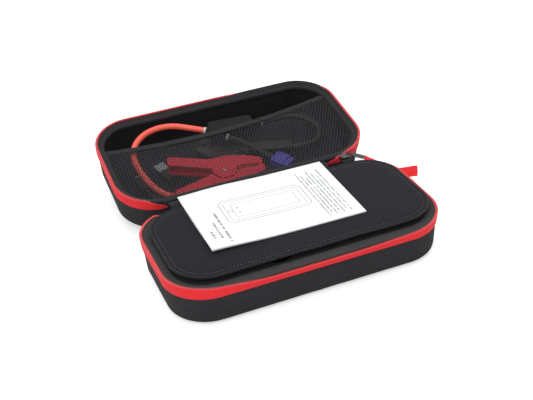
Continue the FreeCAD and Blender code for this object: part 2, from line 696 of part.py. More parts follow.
def starter_button():
    """Power button with its collar, and the coil spring under it."""
    x, high = STARTER_X + BUTTON_X, STARTER_HIGH
    reach, thick = BUTTON_COLLAR
    collar_top = high - STARTER_WALL - HOLE_FIT / 2
    collar_low = collar_top - thick
    cap = rod(BUTTON_RADIUS, (x, 0, high - BUTTON_SKIRT), (x, 0, high + BUTTON_RISE))
    cap = cap.makeFillet(BUTTON_RISE - 0.1, edges_at(cap, high + BUTTON_RISE))
    collar = rod(BUTTON_RADIUS + reach, (x, 0, collar_low), (x, 0, collar_top))
    stem = rod(BUTTON_RADIUS - 1, (x, 0, collar_low), (x, 0, high - BUTTON_SKIRT))
    radius, wall = BUTTON_SPRING
    spring = rod(radius, (x, 0, board_top()), (x, 0, collar_low))
    spring = spring.cut(rod(radius - wall, (x, 0, board_top()), (x, 0, collar_low)))
    return {"power_button": cap.fuse(collar).fuse(stem).removeSplitter(), "button_spring": spring}


def starter_indicator():
    """Window of the charge indicator, flush in the upper case."""
    length, width, corner = INDICATOR
    return slab(length, width, corner, STARTER_HIGH - STARTER_WALL, STARTER_HIGH, STARTER_X - BUTTON_X)


def socket_cover():
    """Rubber cover over the output socket, with its plug and its hinge roll."""
    output, _ = socket_places()
    thick, width, height = SOCKET_COVER
    face = STARTER_END + FIT
    flap = box((thick, width, height), (face + thick / 2, output.y, output.z))
    plug_size = (SOCKET_COVER_PLUG, SOCKET_HOLE[0] - 1.0, SOCKET_HOLE[1] - 1.0)
    plug = box(plug_size, (face - SOCKET_COVER_PLUG / 2 + 0.1, output.y, output.z))
    grip_z = output.z - height / 2 + SOCKET_COVER_GRIP[2]
    grip = box(SOCKET_COVER_GRIP, (face + thick + SOCKET_COVER_GRIP[0] / 2 - 0.1, output.y, grip_z))
    return flap.fuse(plug).fuse(grip).removeSplitter()


def starter():
    """All pieces of the jump starter."""
    output, usb = socket_places()
    usb_blocks = Part.makeCompound([socket_block(USB_SOCKET, USB_HOLE, place) for place in usb])
    return {**starter_housing(), **starter_lamp(), **starter_cells(), **starter_button(),
            "starter_seam_band": band_ring().cut(end_openings()), "starter_screws": starter_screws(),
            "starter_output_socket": socket_block(SOCKET, SOCKET_HOLE, output),
            "starter_usb_sockets": usb_blocks, "starter_board": starter_board(),
            "starter_indicator": starter_indicator(), "socket_cover": socket_cover()}


# Jump lead, drawn in the lid frame

def clamp_arm(side, low, high):
    """Outline of one clamp lever: jaw, shoulder and handle. Side +1 is the moving one."""
    nose = JAW_LENGTH - JAW_TIP
    points = [(8, JAW_GAP), (nose, JAW_GAP), (nose, JAW_CLOSED), (JAW_LENGTH - 2, JAW_CLOSED),
              (JAW_LENGTH, 4), (JAW_LENGTH - 1, 10), (24, 17.5), (6, 21), (-12, 19),
              (2 - HANDLE_LENGTH, HANDLE_SPREAD), (-HANDLE_LENGTH, HANDLE_SPREAD - 13), (-12, 4)]
    radii = [1, 0.8, 0.6, 1.4, 2, 3, 10, 14, 20, 3, 3, 2]
    return rounded_prism([(a, side * b) for a, b in points], radii, low, high)


def handle_channel(side, low, high):
    """Hollow of a handle, open toward the other handle."""
    points = [(-6, 0), (-9, 16.0), (3.5 - HANDLE_LENGTH, HANDLE_SPREAD - 2.6), (1 - HANDLE_LENGTH, 0)]
    return prism([(a, side * b) for a, b in points], "Z", low, high)


def lobe(radius, low, high):
    """Disc round the clamp's pivot."""
    return Part.makeCylinder(radius, high - low, V(0, 0, low))


def clamp_levers():
    """Two channel-shaped levers whose cheeks overlap at the pivot, one pair inside the other."""
    full, cheek, clear = CLAMP_THICK, CLAMP_CHEEK, CLAMP_CLEARANCE
    inner = cheek + clear
    hollow = CLAMP_LOBE + 1.5
    moving = clamp_arm(1, 0, full).cut(lobe(hollow, cheek, full - cheek))
    moving = moving.cut(handle_channel(1, cheek, full - cheek))
    fixed = clamp_arm(-1, 0, full).cut(handle_channel(-1, cheek, full - cheek))
    for low, high in ((0, inner), (inner + cheek, full - inner - cheek), (full - inner, full)):
        fixed = fixed.cut(lobe(hollow, low, high))
    for low in (0, full - cheek):
        moving = moving.fuse(lobe(CLAMP_LOBE, low, low + cheek))
    for low in (inner, full - inner - cheek):
        fixed = fixed.fuse(lobe(CLAMP_LOBE, low, low + cheek))
    bore = lobe(PIN_RADIUS + RUNNING_FIT, 0, full)
    return moving.cut(bore).removeSplitter(), fixed.cut(bore).removeSplitter()


def jaw_plate(side):
    """Copper plate with cross teeth that lines one jaw."""
    start = JAW_PLATE_START
    count = int((JAW_LENGTH - JAW_TIP - 0.5 - start) // TOOTH)
    points = [(start + count * TOOTH, JAW_GAP), (start, JAW_GAP)]
    for number in range(count):
        root = start + number * TOOTH
        points += [(root, JAW_ROOT), (root + TOOTH / 2, JAW_CLOSED)]
    points.append((start + count * TOOTH, JAW_ROOT))
    margin = CLAMP_CHEEK + 0.4
    return prism([(a, side * b) for a, b in points], "Z", margin, CLAMP_THICK - margin)


def clamp_spring():
    """Torsion spring round the pin, with a leg toward each handle."""
    low = 2 * (CLAMP_CHEEK + CLAMP_CLEARANCE)
    high = CLAMP_THICK - low
    radius, wire = CLAMP_SPRING
    coil = lobe(radius, low, high).cut(lobe(radius - 2.5 * wire, low, high))
    reach, rise = SPRING_LEG
    for side, height in ((1, high - wire - 0.1), (-1, low + wire + 0.1)):
        leg = rod(wire, (0, side * (radius - wire), height), (-reach, side * rise, height))
        coil = coil.fuse(leg)
    return coil.removeSplitter()


def place_clamp(shape, place, top):
    """Lay a clamp piece in the lid frame with its upper face at a height."""
    u, v, turn = place
    placed = shape.copy()
    placed.rotate(V(0, 0, 0), V(0, 0, 1), turn)
    placed.translate(V(u, v, top - CLAMP_THICK))
    return placed


def boot(points, length=BOOT_LENGTH, radius=BOOT_RADIUS):
    """Strain relief that ends where a cord starts."""
    start, following = V(*points[0]), V(*points[1])
    back = start - (following - start).normalize() * length
    return rod(radius, back, start)


def clamp(colour, place, top, cable):
    """All pieces of one clamp."""
    moving, fixed = clamp_levers()
    pin = lobe(PIN_RADIUS, 0.2, CLAMP_THICK - 0.2)
    pieces = {"clamp_lever": moving, "clamp_body": fixed, "clamp_pin": pin, "clamp_spring": clamp_spring(),
              "clamp_jaw_upper": jaw_plate(1), "clamp_jaw_lower": jaw_plate(-1)}
    placed = {f"{colour}_{name}": place_clamp(shape, place, top) for name, shape in pieces.items()}
    body = f"{colour}_clamp_body"
    placed[body] = placed[body].fuse(boot(cable)).removeSplitter()
    return placed


def lead_module():
    """Protection box of the lead, with a strain relief for each cord."""
    length, width, thick = MODULE
    u, v, turn = MODULE_PLACE
    body = slab(length, width, 5.0, CONTENT_TOP - thick, CONTENT_TOP)
    body = body.makeFillet(2.0, edges_at(body, CONTENT_TOP))
    body.rotate(V(0, 0, 0), V(0, 0, 1), turn)
    body.translate(V(u, v, 0))
    for route in (RED_CABLE[::-1], BLACK_CABLE[::-1], PLUG_LEAD):
        start, following = V(*route[0]), V(*route[1])
        inset = (start - following).normalize() * FERRULE_LENGTH
        body = body.fuse(boot([start + inset, following + inset]))
    return body.removeSplitter()


def lead_ferrules():
    """Rings between the box's strain reliefs and its cords."""
    routes = ((RED_CABLE[::-1], CABLE_RADIUS), (BLACK_CABLE[::-1], CABLE_RADIUS),
              (PLUG_LEAD, PLUG_LEAD_RADIUS))
    return Part.makeCompound([boot(route, FERRULE_LENGTH, radius + FERRULE_WALL) for route, radius in routes])


def plug_frame(shape, points):
    """Place a piece drawn along +X from the origin at the end of a cord."""
    end, before = V(*points[-1]), V(*points[-2])
    heading = math.degrees(math.atan2(end.y - before.y, end.x - before.x))
    shape.rotate(V(0, 0, 0), V(0, 0, 1), heading)
    shape.translate(end)
    return shape


def battery_plug():
    """Two-pole plug with stepped grip, and its two round contacts."""
    length, width, thick = BATTERY_PLUG
    grip = length - PLUG_NOSE
    body = box((grip, width, thick), (grip / 2, 0, 0))
    body = body.makeFillet(1.5, [edge for edge in body.Edges if abs(edge.BoundBox.XLength - grip) < 1e-4])
    nose = box((PLUG_NOSE, width - 2 * PLUG_STEP, thick - 2 * PLUG_STEP), (grip + PLUG_NOSE / 2, 0, 0))
    plug = body.fuse(nose)
    radius, contact_length = PLUG_CONTACT
    inner, outer = length - contact_length - 1, length - 1
    contacts = []
    for y in (-PLUG_PITCH / 2, PLUG_PITCH / 2):
        plug = plug.cut(rod(PLUG_BORE, (inner, y, 0), (length, y, 0)))
        contacts.append(rod(radius, (inner, y, 0), (outer, y, 0)))
    return {"battery_plug": plug_frame(plug.removeSplitter(), PLUG_LEAD),
            "battery_plug_contacts": plug_frame(Part.makeCompound(contacts), PLUG_LEAD)}


def usb_end(points, shell_size):
    """Moulded grip and metal shell at one end of the USB lead."""
    length, width, thick = shell_size
    grip_length, grip_thick = USB_GRIP
    grip_width = width + 2 * USB_GRIP_SIDE
    grip = slab(grip_length, grip_width, 2.0, -grip_thick / 2, grip_thick / 2, grip_length / 2)
    shell = box(shell_size, (grip_length + length / 2, 0, 0))
    mouth = box((length, width - 2 * USB_WALL, thick - 2 * USB_WALL),
                (grip_length + length / 2 + 2 * USB_WALL, 0, 0))
    return plug_frame(grip, points), plug_frame(shell.cut(mouth), points)


def usb_plugs():
    """Large plug at one end of the USB lead and a small one at the other."""
    ends = [usb_end(USB_LEAD[::-1], USB_PLUG), usb_end(USB_LEAD, SMALL_PLUG)]
    return {"usb_grips": Part.makeCompound([grip for grip, _ in ends]),
            "usb_shells": Part.makeCompound([shell for _, shell in ends])}


def jump_lead():
    """Everything in the lid's pocket, moved onto the lid."""
    pieces = {**clamp("red", RED_CLAMP_PLACE, CONTENT_TOP, RED_CABLE),
              **clamp("black", BLACK_CLAMP_PLACE, LOWER_CLAMP_TOP, BLACK_CABLE),
              **battery_plug(), **usb_plugs(), "lead_module": lead_module(), "lead_ferrules": lead_ferrules(),
              "red_cable": cord("red_cable", RED_CABLE, CABLE_RADIUS),
              "black_cable": cord("black_cable", BLACK_CABLE, CABLE_RADIUS),
              "plug_lead": cord("plug_lead", PLUG_LEAD, PLUG_LEAD_RADIUS),
              "usb_lead": cord("usb_lead", USB_LEAD, USB_LEAD_RADIUS)}
    return {name: to_lid(shape) for name, shape in pieces.items()}


# Mesh pocket

def elastic_disc(offset, low, high):
    """Upright cylinder whose edge follows the elastic's line, moved by an offset."""
    near, middle, far = (V(a, b, 0) for a, b in ELASTIC_LINE)
    line = Part.Arc(near, middle, far).toShape().Curve
    return Part.makeCylinder(line.Radius + offset, high - low, V(line.Center.x, line.Center.y, low))


def pocket_room(w_low, w_high):
    """Space inside the lid's lining between two heights."""
    room = case_block(LINING_DEPTH + LINING + FIT, HALF_DEPTH + w_low, HALF_DEPTH + w_high)
    return lid_frame(room)


def mesh_pocket():
    """Net that holds the lead in the lid, and the elastic along its free edge."""
    net = pocket_room(MESH_W, MESH_W + MESH_THICK)
    net = net.cut(elastic_disc(ELASTIC_WIDTH / 2 + FIT, MESH_W - 1, MESH_W + 2))
    low = MESH_W + MESH_THICK / 2 - ELASTIC_THICK / 2
    high = low + ELASTIC_THICK
    band = pocket_room(low, high).common(elastic_disc(ELASTIC_WIDTH / 2, low, high))
    band = band.cut(elastic_disc(-ELASTIC_WIDTH / 2, low, high))
    return {"pocket_mesh": to_lid(net), "pocket_elastic": to_lid(band)}


def main():
    """Build every piece and write one STEP file for each."""
    pieces = {**base_half(), **lid_half(), "base_tray": base_tray(), "zip_slider": zip_slider(), **zip_pull(),
              **cover(), **cover_hinges(), "leaflet": leaflet(), **starter(), **jump_lead(), **mesh_pocket()}
    os.makedirs("parts", exist_ok=True)
    for name, shape in pieces.items():
        shape.exportStep(f"parts/{name}.step")
        print(f"{name}: {len(shape.Solids)} solids, valid {shape.isValid()}, volume {shape.Volume:.0f}")
    print(len(pieces), "nodes")


main()
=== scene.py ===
"""Looks of an open jump starter case: a zipped, moulded case whose lid is laid back.

Shapes are drawn in millimetres and become metres in solid(). Case halves are drawn rim up round
the frame's origin. LID_HALF turns such a half into the opened lid, and LID places what is drawn
in the lid frame (u, v, w): u along the case, v from the lid's near rim, w up from its rim plane.
"""
import json
import math

import bpy
from mathutils import Matrix, Vector, noise


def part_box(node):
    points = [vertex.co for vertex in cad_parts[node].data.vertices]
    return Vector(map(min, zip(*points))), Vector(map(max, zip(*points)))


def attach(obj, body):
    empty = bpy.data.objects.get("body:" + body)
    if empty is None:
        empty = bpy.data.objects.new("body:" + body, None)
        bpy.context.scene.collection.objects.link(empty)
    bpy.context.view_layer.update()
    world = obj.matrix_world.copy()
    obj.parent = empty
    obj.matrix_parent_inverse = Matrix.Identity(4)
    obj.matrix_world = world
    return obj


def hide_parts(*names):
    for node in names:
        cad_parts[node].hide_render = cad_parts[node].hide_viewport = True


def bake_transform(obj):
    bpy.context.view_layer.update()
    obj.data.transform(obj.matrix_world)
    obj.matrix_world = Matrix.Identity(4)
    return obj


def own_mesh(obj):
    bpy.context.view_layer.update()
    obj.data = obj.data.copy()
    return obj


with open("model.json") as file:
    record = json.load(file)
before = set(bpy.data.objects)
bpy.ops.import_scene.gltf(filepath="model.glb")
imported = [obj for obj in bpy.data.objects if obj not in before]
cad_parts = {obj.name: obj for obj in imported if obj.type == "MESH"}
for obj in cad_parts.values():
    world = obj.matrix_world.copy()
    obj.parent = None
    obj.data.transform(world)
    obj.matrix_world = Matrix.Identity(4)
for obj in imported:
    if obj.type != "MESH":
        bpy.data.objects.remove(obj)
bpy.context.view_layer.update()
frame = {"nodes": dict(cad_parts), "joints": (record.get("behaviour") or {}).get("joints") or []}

MM = 0.001
UNMOVED = Matrix.Identity(4)


def box_mm(node):
    """Lowest and highest corner of a CAD node, in millimetres."""
    low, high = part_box(node)
    return low / MM, high / MM


def joint(name):
    """The frame's row of one joint."""
    return next(row for row in frame["joints"] if row["name"] == name)


def new_object(name, data):
    """Object in the scene."""
    obj = bpy.data.objects.new(name, data)
    bpy.context.scene.collection.objects.link(obj)
    return obj


def stand(obj, place, turn):
    """Put a camera or a lamp in its place, in metres."""
    obj.rotation_mode = "QUATERNION"
    obj.location, obj.rotation_quaternion = place, turn


# Sizes that the CAD states, read from its boxes where a box gives them. A depth runs inward from
# the outside of a case half's wall.
TAPE_LOW_CORNER, TAPE_HIGH_CORNER = box_mm("base_zip_tape")
CASE_LENGTH = 2 * TAPE_HIGH_CORNER.x
CASE_WIDTH = -2 * TAPE_LOW_CORNER.y
HALF_DEPTH = TAPE_HIGH_CORNER.z
TAPE_LOW = TAPE_LOW_CORNER.z
SHELL_TOP = box_mm("base_shell")[1].z
BINDING_TOP = box_mm("base_binding")[1].z
CASE_CORNER = 42.0  # radius of the case's outline
DRAFT = 2.8  # how much farther in the wall stands at the floor than at the rim
WALL = 3.0
EDGE_RADIUS = 7.0  # between wall and floor
TAPE_THICK = 0.8
TAPE_OVERLAP = 15.0  # of the lid's tape over its hinge
BINDING_WIDTH = {"base": 11.0, "lid": 7.6}
HINGE_LENGTH = 180.0
LID_TILT = math.radians(11.3)
LID_RISE = 0.65  # of the hinge above the lid's rim plane
LINING = 1.2  # thickness
LINING_DEPTH = 4.1  # of its outer face
LINING_FLOOR = 4.5  # above the half's flat face
LEDGE = (31.5, 27.5, 1.1)  # heights where the lining steps inward, and by how much
NET_W = -7.0  # height in the lid frame
NET_DEPTH = 5.6  # of the net's edge
NET_REACH = 126.0  # how far out the net's top edge follows the elastic
ELASTIC_LINE = ((-124.0, 97.0), (-10.0, 88.5), (124.0, 105.0))  # three (u, v) points of its arc
COVER_CORNER = 36.0
COVER_SPREAD = Vector((-2.8, -0.8, 0))  # from the CAD's front left corner to the photo's
LEAFLET_TURN = math.radians(-0.87)
LEAFLET_SIZE = (148.0, 105.0)
PULL_ANGLES = (35.0, 24.0, -11.9)  # roll, pitch and yaw
RIBBON_START = 17.4  # from the pull's pivot

# The hinge and the lid's place
HINGE = Vector(joint("lid_hinge")["pos_m"]) / MM
LID_TURN = Matrix.Rotation(LID_TILT, 4, "X")
LID_ORIGIN = HINGE + LID_TURN @ Vector((0, HINGE.y - CASE_WIDTH / 2, -LID_RISE))
LID = Matrix.Translation(LID_ORIGIN) @ LID_TURN
LID_HALF = LID @ Matrix.Translation((0, CASE_WIDTH / 2, -HALF_DEPTH)) @ Matrix.Rotation(math.pi, 4, "Z")
HALVES = {"base": UNMOVED, "lid": LID_HALF}


# Camera, light and floor

def camera():
    """The camera's place, by its angles round a point of the case."""
    azimuth, elevation, roll = (math.radians(x) for x in (-20.01, 31.08, -4.506))
    target, distance = Vector((6.85, 74.45, 18.6)) * MM, 0.9646
    back = Vector((math.sin(azimuth) * math.cos(elevation), -math.cos(azimuth) * math.cos(elevation),
                   math.sin(elevation)))
    right = Vector((math.cos(azimuth), math.sin(azimuth), 0))
    up = back.cross(right)
    level = Matrix((right, up, back)).transposed()
    data = bpy.data.cameras.new("camera")
    data.lens = 65.73
    data.sensor_width = 36.0
    obj = new_object("camera", data)
    stand(obj, target + back * distance, (level @ Matrix.Rotation(roll, 3, "Z")).to_quaternion())
    bpy.context.scene.camera = obj


def area_light(name, place, size, power, target=(0, 0.07, 0.03)):
    """Soft square light that faces the case."""
    data = bpy.data.lights.new(name, "AREA")
    data.size, data.energy = size, power
    turn = (Vector(target) - Vector(place)).to_track_quat("-Z", "Y")
    stand(new_object(name, data), place, turn)


def world_light():
    """Even white surroundings."""
    world = bpy.data.worlds.new("studio")
    world.use_nodes = True
    nodes, links = world.node_tree.nodes, world.node_tree.links
    background = nodes["Background"]
    background.inputs["Color"].default_value = (1, 1, 1, 1)
    rays = nodes.new("ShaderNodeLightPath")
    strength = nodes.new("ShaderNodeMapRange")
    strength.inputs["To Min"].default_value = 0.62
    strength.inputs["To Max"].default_value = 1.0
    links.new(rays.outputs["Is Camera Ray"], strength.inputs["Value"])
    links.new(strength.outputs["Result"], background.inputs["Strength"])
    bpy.context.scene.world = world


def floor():
    """White floor that keeps a faint shadow."""
    mesh = bpy.data.meshes.new("floor")
    corners = [(x * 6.0, y * 6.0, 0) for x, y in ((-1, -1), (1, -1), (1, 1), (-1, 1))]
    mesh.from_pydata(corners, [], [(0, 1, 2, 3)])
    obj = new_object("floor", mesh)
    graph = Graph("floor", (0.86, 0.86, 0.86), 0.9)
    rays = graph.node("ShaderNodeLightPath")
    glow = graph.node("ShaderNodeEmission")
    lift = graph.math("MULTIPLY", rays.outputs["Is Camera Ray"], 0.45)
    graph.link(lift, glow.inputs["Strength"])
    both = graph.node("ShaderNodeAddShader")
    graph.link(graph.shader.outputs[0], both.inputs[0])
    graph.link(glow.outputs[0], both.inputs[1])
    graph.link(both.outputs[0], graph.output.inputs["Surface"])
    mesh.materials.append(graph.material)


# Materials

class Graph:
    """Short calls that build one material's nodes round its Principled shader."""

    def __init__(self, name, colour, roughness, **fixed):
        self.material = bpy.data.materials.new(name)
        self.material.use_nodes = True
        self.tree = self.material.node_tree
        self.shader = self.tree.nodes["Principled BSDF"]
        self.output = self.tree.nodes["Material Output"]
        self.colour = colour
        self.shader.inputs["Base Color"].default_value = (*colour, 1)
        self.shader.inputs["Roughness"].default_value = roughness
        for socket, value in fixed.items():
            self.shader.inputs[socket.replace("_", " ")].default_value = value
        self.place = self.node("ShaderNodeTexCoord").outputs["Object"]
        self.material.diffuse_color = (*colour, 1)

    def node(self, kind, **settings):
        """New node with its settings."""
        made = self.tree.nodes.new(kind)
        for key, value in settings.items():
            setattr(made, key, value)
        return made

    def link(self, source, target):
        """Join an output to an input."""
        self.tree.links.new(source, target)

    def feed(self, socket, value):
        """Set a socket to a number, a tuple or another node's output."""
        if isinstance(value, bpy.types.NodeSocket):
            self.link(value, socket)
        else:
            socket.default_value = value

    def math(self, operation, *values, kind="ShaderNodeMath"):
        """Output of one operation on numbers or other outputs."""
        made = self.node(kind, operation=operation)
        for socket, value in zip(made.inputs, values):
            self.feed(socket, value)
        return made.outputs[0]

    def fold(self, operation, values):
        """One operation over a list, from its first value on."""
        total = values[0]
        for value in values[1:]:
            total = self.math(operation, total, value)
        return total

    def axes(self, vector):
        """The three parts of a vector."""
        made = self.node("ShaderNodeSeparateXYZ")
        self.link(vector, made.inputs[0])
        return made.outputs

    def stretched(self, factors):
        """The place on the object, stretched along its axes."""
        return self.math("MULTIPLY", self.place, factors, kind="ShaderNodeVectorMath")

    def noise(self, scale, detail=3.0, stretch=(1, 1, 1)):
        """Cloudy value from 0 to 1; scale is in cells a metre."""
        made = self.node("ShaderNodeTexNoise")
        self.link(self.stretched(stretch), made.inputs["Vector"])
        made.inputs["Scale"].default_value = scale
        made.inputs["Detail"].default_value = detail
        return made.outputs["Fac"]

    def ramp(self, value, low, high, to_low=0.0, to_high=1.0):
        """Value taken from one range to another, and kept inside it."""
        made = self.node("ShaderNodeMapRange")
        for socket, given in zip(("Value", "From Min", "From Max", "To Min", "To Max"),
                                 (value, low, high, to_low, to_high)):
            self.feed(made.inputs[socket], given)
        return made.outputs["Result"]

    def mix(self, share, first, second):
        """Colour between two others."""
        made = self.node("ShaderNodeMix", data_type="RGBA")
        self.feed(made.inputs["Factor"], share)
        for socket, value in ((made.inputs[6], first), (made.inputs[7], second)):
            self.feed(socket, value if isinstance(value, bpy.types.NodeSocket) else (*value, 1))
        return made.outputs[2]

    def tint(self, share, dark, light):
        """Vary the base colour between two multiples of itself."""
        self.paint(self.mix(share, *[tuple(min(1, c * k) for c in self.colour) for k in (dark, light)]))

    def paint(self, colour):
        """Take the base colour from an output."""
        self.link(colour, self.shader.inputs["Base Color"])

    def rough(self, share, low, high):
        """Vary the roughness between two values."""
        self.link(self.ramp(share, 0, 1, low, high), self.shader.inputs["Roughness"])

    def bump(self, height, distance):
        """Relief of a height from 0 to 1 over a distance in metres, on top of any other."""
        made = self.node("ShaderNodeBump")
        made.inputs["Distance"].default_value = distance
        self.feed(made.inputs["Height"], height)
        if self.shader.inputs["Normal"].is_linked:
            self.link(self.shader.inputs["Normal"].links[0].from_socket, made.inputs["Normal"])
        self.link(made.outputs[0], self.shader.inputs["Normal"])

    def weave(self, pitch, stretch=(1, 1, 1)):
        """Height of crossing threads a pitch apart, in metres, on faces of any direction."""
        turns = self.axes(self.stretched(tuple(2 * math.pi / pitch * k for k in stretch)))
        waves = [self.math("SINE", turns[i]) for i in range(3)]
        pairs = [self.math("MULTIPLY", waves[i], waves[(i + 1) % 3]) for i in range(3)]
        return self.ramp(self.fold("ADD", pairs), -1, 1)


def cloth(name, colour, pitch, roughness=0.85, relief=0.0002, sheen=0.05, contrast=0.35, stretch=(1, 1, 1)):
    """Woven or knitted fabric."""
    graph = Graph(name, colour, roughness, Sheen_Weight=sheen, Sheen_Roughness=0.5, Specular_IOR_Level=0.12)
    threads = graph.weave(pitch, stretch)
    cloudy = graph.noise(45)
    specks = graph.noise(1300, 2)
    shares = ((threads, 0.2), (cloudy, 0.3), (specks, 0.5))
    shade = graph.fold("ADD", [graph.math("MULTIPLY", part, share) for part, share in shares])
    graph.tint(shade, 1 - 1.5 * contrast, 1 + 1.5 * contrast)
    graph.bump(threads, relief)
    graph.bump(graph.noise(900, 2), relief * 0.7)
    graph.rough(cloudy, roughness - 0.08, min(1, roughness + 0.08))
    return graph.material


def plastic(name, colour, roughness=0.42, grain=0.00006, **fixed):
    """Moulded plastic with a fine grain and a slightly uneven gloss."""
    graph = Graph(name, colour, roughness, **fixed)
    graph.tint(graph.noise(60), 0.9, 1.1)
    graph.rough(graph.noise(120, 4), roughness - 0.07, roughness + 0.09)
    graph.bump(graph.noise(2600, 2), grain)
    return graph.material


def metal(name, colour, roughness=0.3, brushed=(1, 1, 12)):
    """Metal with fine scratches along one direction."""
    graph = Graph(name, colour, roughness, Metallic=1.0)
    lines = graph.noise(500, 4, brushed)
    graph.tint(lines, 0.88, 1.08)
    graph.rough(lines, roughness - 0.06, roughness + 0.12)
    graph.bump(lines, 0.00003)
    return graph.material


def leaflet_spot(graph):
    """Place across and along the leaflet from its middle, in metres."""
    low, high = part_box("leaflet")
    middle = (Vector(low) + Vector(high)) / 2
    turned = graph.node("ShaderNodeMapping", vector_type="TEXTURE")
    turned.inputs["Location"].default_value = (middle.x, middle.y, 0)
    turned.inputs["Rotation"].default_value = (0, 0, LEAFLET_TURN)
    graph.link(graph.place, turned.inputs["Vector"])
    return graph.axes(turned.outputs[0])[:2]


def outline_mask(graph, spot, centre, half, corner, width):
    """1 on the outline of a rounded box, 0 elsewhere."""
    sides = []
    for value, at, reach in zip(spot, centre, half):
        away = graph.math("ABSOLUTE", graph.math("SUBTRACT", value, at))
        sides.append(graph.math("SUBTRACT", away, reach - corner))
    squares = [graph.math("POWER", graph.math("MAXIMUM", side, 0.0), 2.0) for side in sides]
    outside = graph.math("SQRT", graph.math("ADD", *squares))
    inside = graph.math("MINIMUM", graph.math("MAXIMUM", *sides), 0.0)
    distance = graph.math("SUBTRACT", graph.math("ADD", outside, inside), corner)
    return graph.math("LESS_THAN", graph.math("ABSOLUTE", distance), width / 2)


def block_mask(graph, spot, low, high):
    """1 inside a rectangle, 0 elsewhere."""
    tests = []
    for value, least, most in zip(spot, low, high):
        tests += [graph.math("GREATER_THAN", value, least), graph.math("LESS_THAN", value, most)]
    return graph.fold("MULTIPLY", tests)


def leaflet_ink(graph, spot):
    """1 where the leaflet is printed: a drawing of a rounded box, and dashes in place of words."""
    middle, dot = (-0.004, 0.002), (0.0009, 0.0009)
    drawing = [(middle, (0.041, 0.020), 0.007, 0.0006), (middle, (0.037, 0.0165), 0.004, 0.0004),
               (middle, (0.031, 0.0115), 0.002, 0.0004), ((-0.038, 0.002), (0.0022, 0.0022), 0.002, 0.0005),
               ((-0.030, 0.006), dot, 0.0008, 0.0006), ((-0.030, -0.002), dot, 0.0008, 0.0006)]
    words = []
    for row in range(7):
        at = 0.0415 + 0.0036 * row
        words.append(((at, -0.044 + 0.004 * (row % 2)), (at + 0.0011, 0.040 - 0.006 * (row % 3))))
    words += [((-0.0665, -0.036), (-0.0640, -0.024)), ((-0.0600, -0.038), (-0.0580, -0.010)),
              ((-0.0540, -0.046), (-0.0520, 0.006))]
    dashes = graph.math("GREATER_THAN", graph.noise(420, 2, (0.2, 1, 0)), 0.44)
    printed = [outline_mask(graph, spot, *line) for line in drawing]
    printed += [graph.math("MULTIPLY", block_mask(graph, spot, *corners), dashes) for corners in words]
    return graph.fold("MAXIMUM", printed)


def leaflet_paper():
    """Plain white paper with grey print."""
    paper, print_grey = (0.87, 0.885, 0.90), (0.10, 0.10, 0.11)
    graph = Graph("leaflet_paper", paper, 0.7, Specular_IOR_Level=0.35)
    graph.bump(graph.noise(700, 4), 0.00004)
    ink = leaflet_ink(graph, leaflet_spot(graph))
    graph.paint(graph.mix(graph.math("MULTIPLY", ink, 0.72), paper, print_grey))
    return graph.material


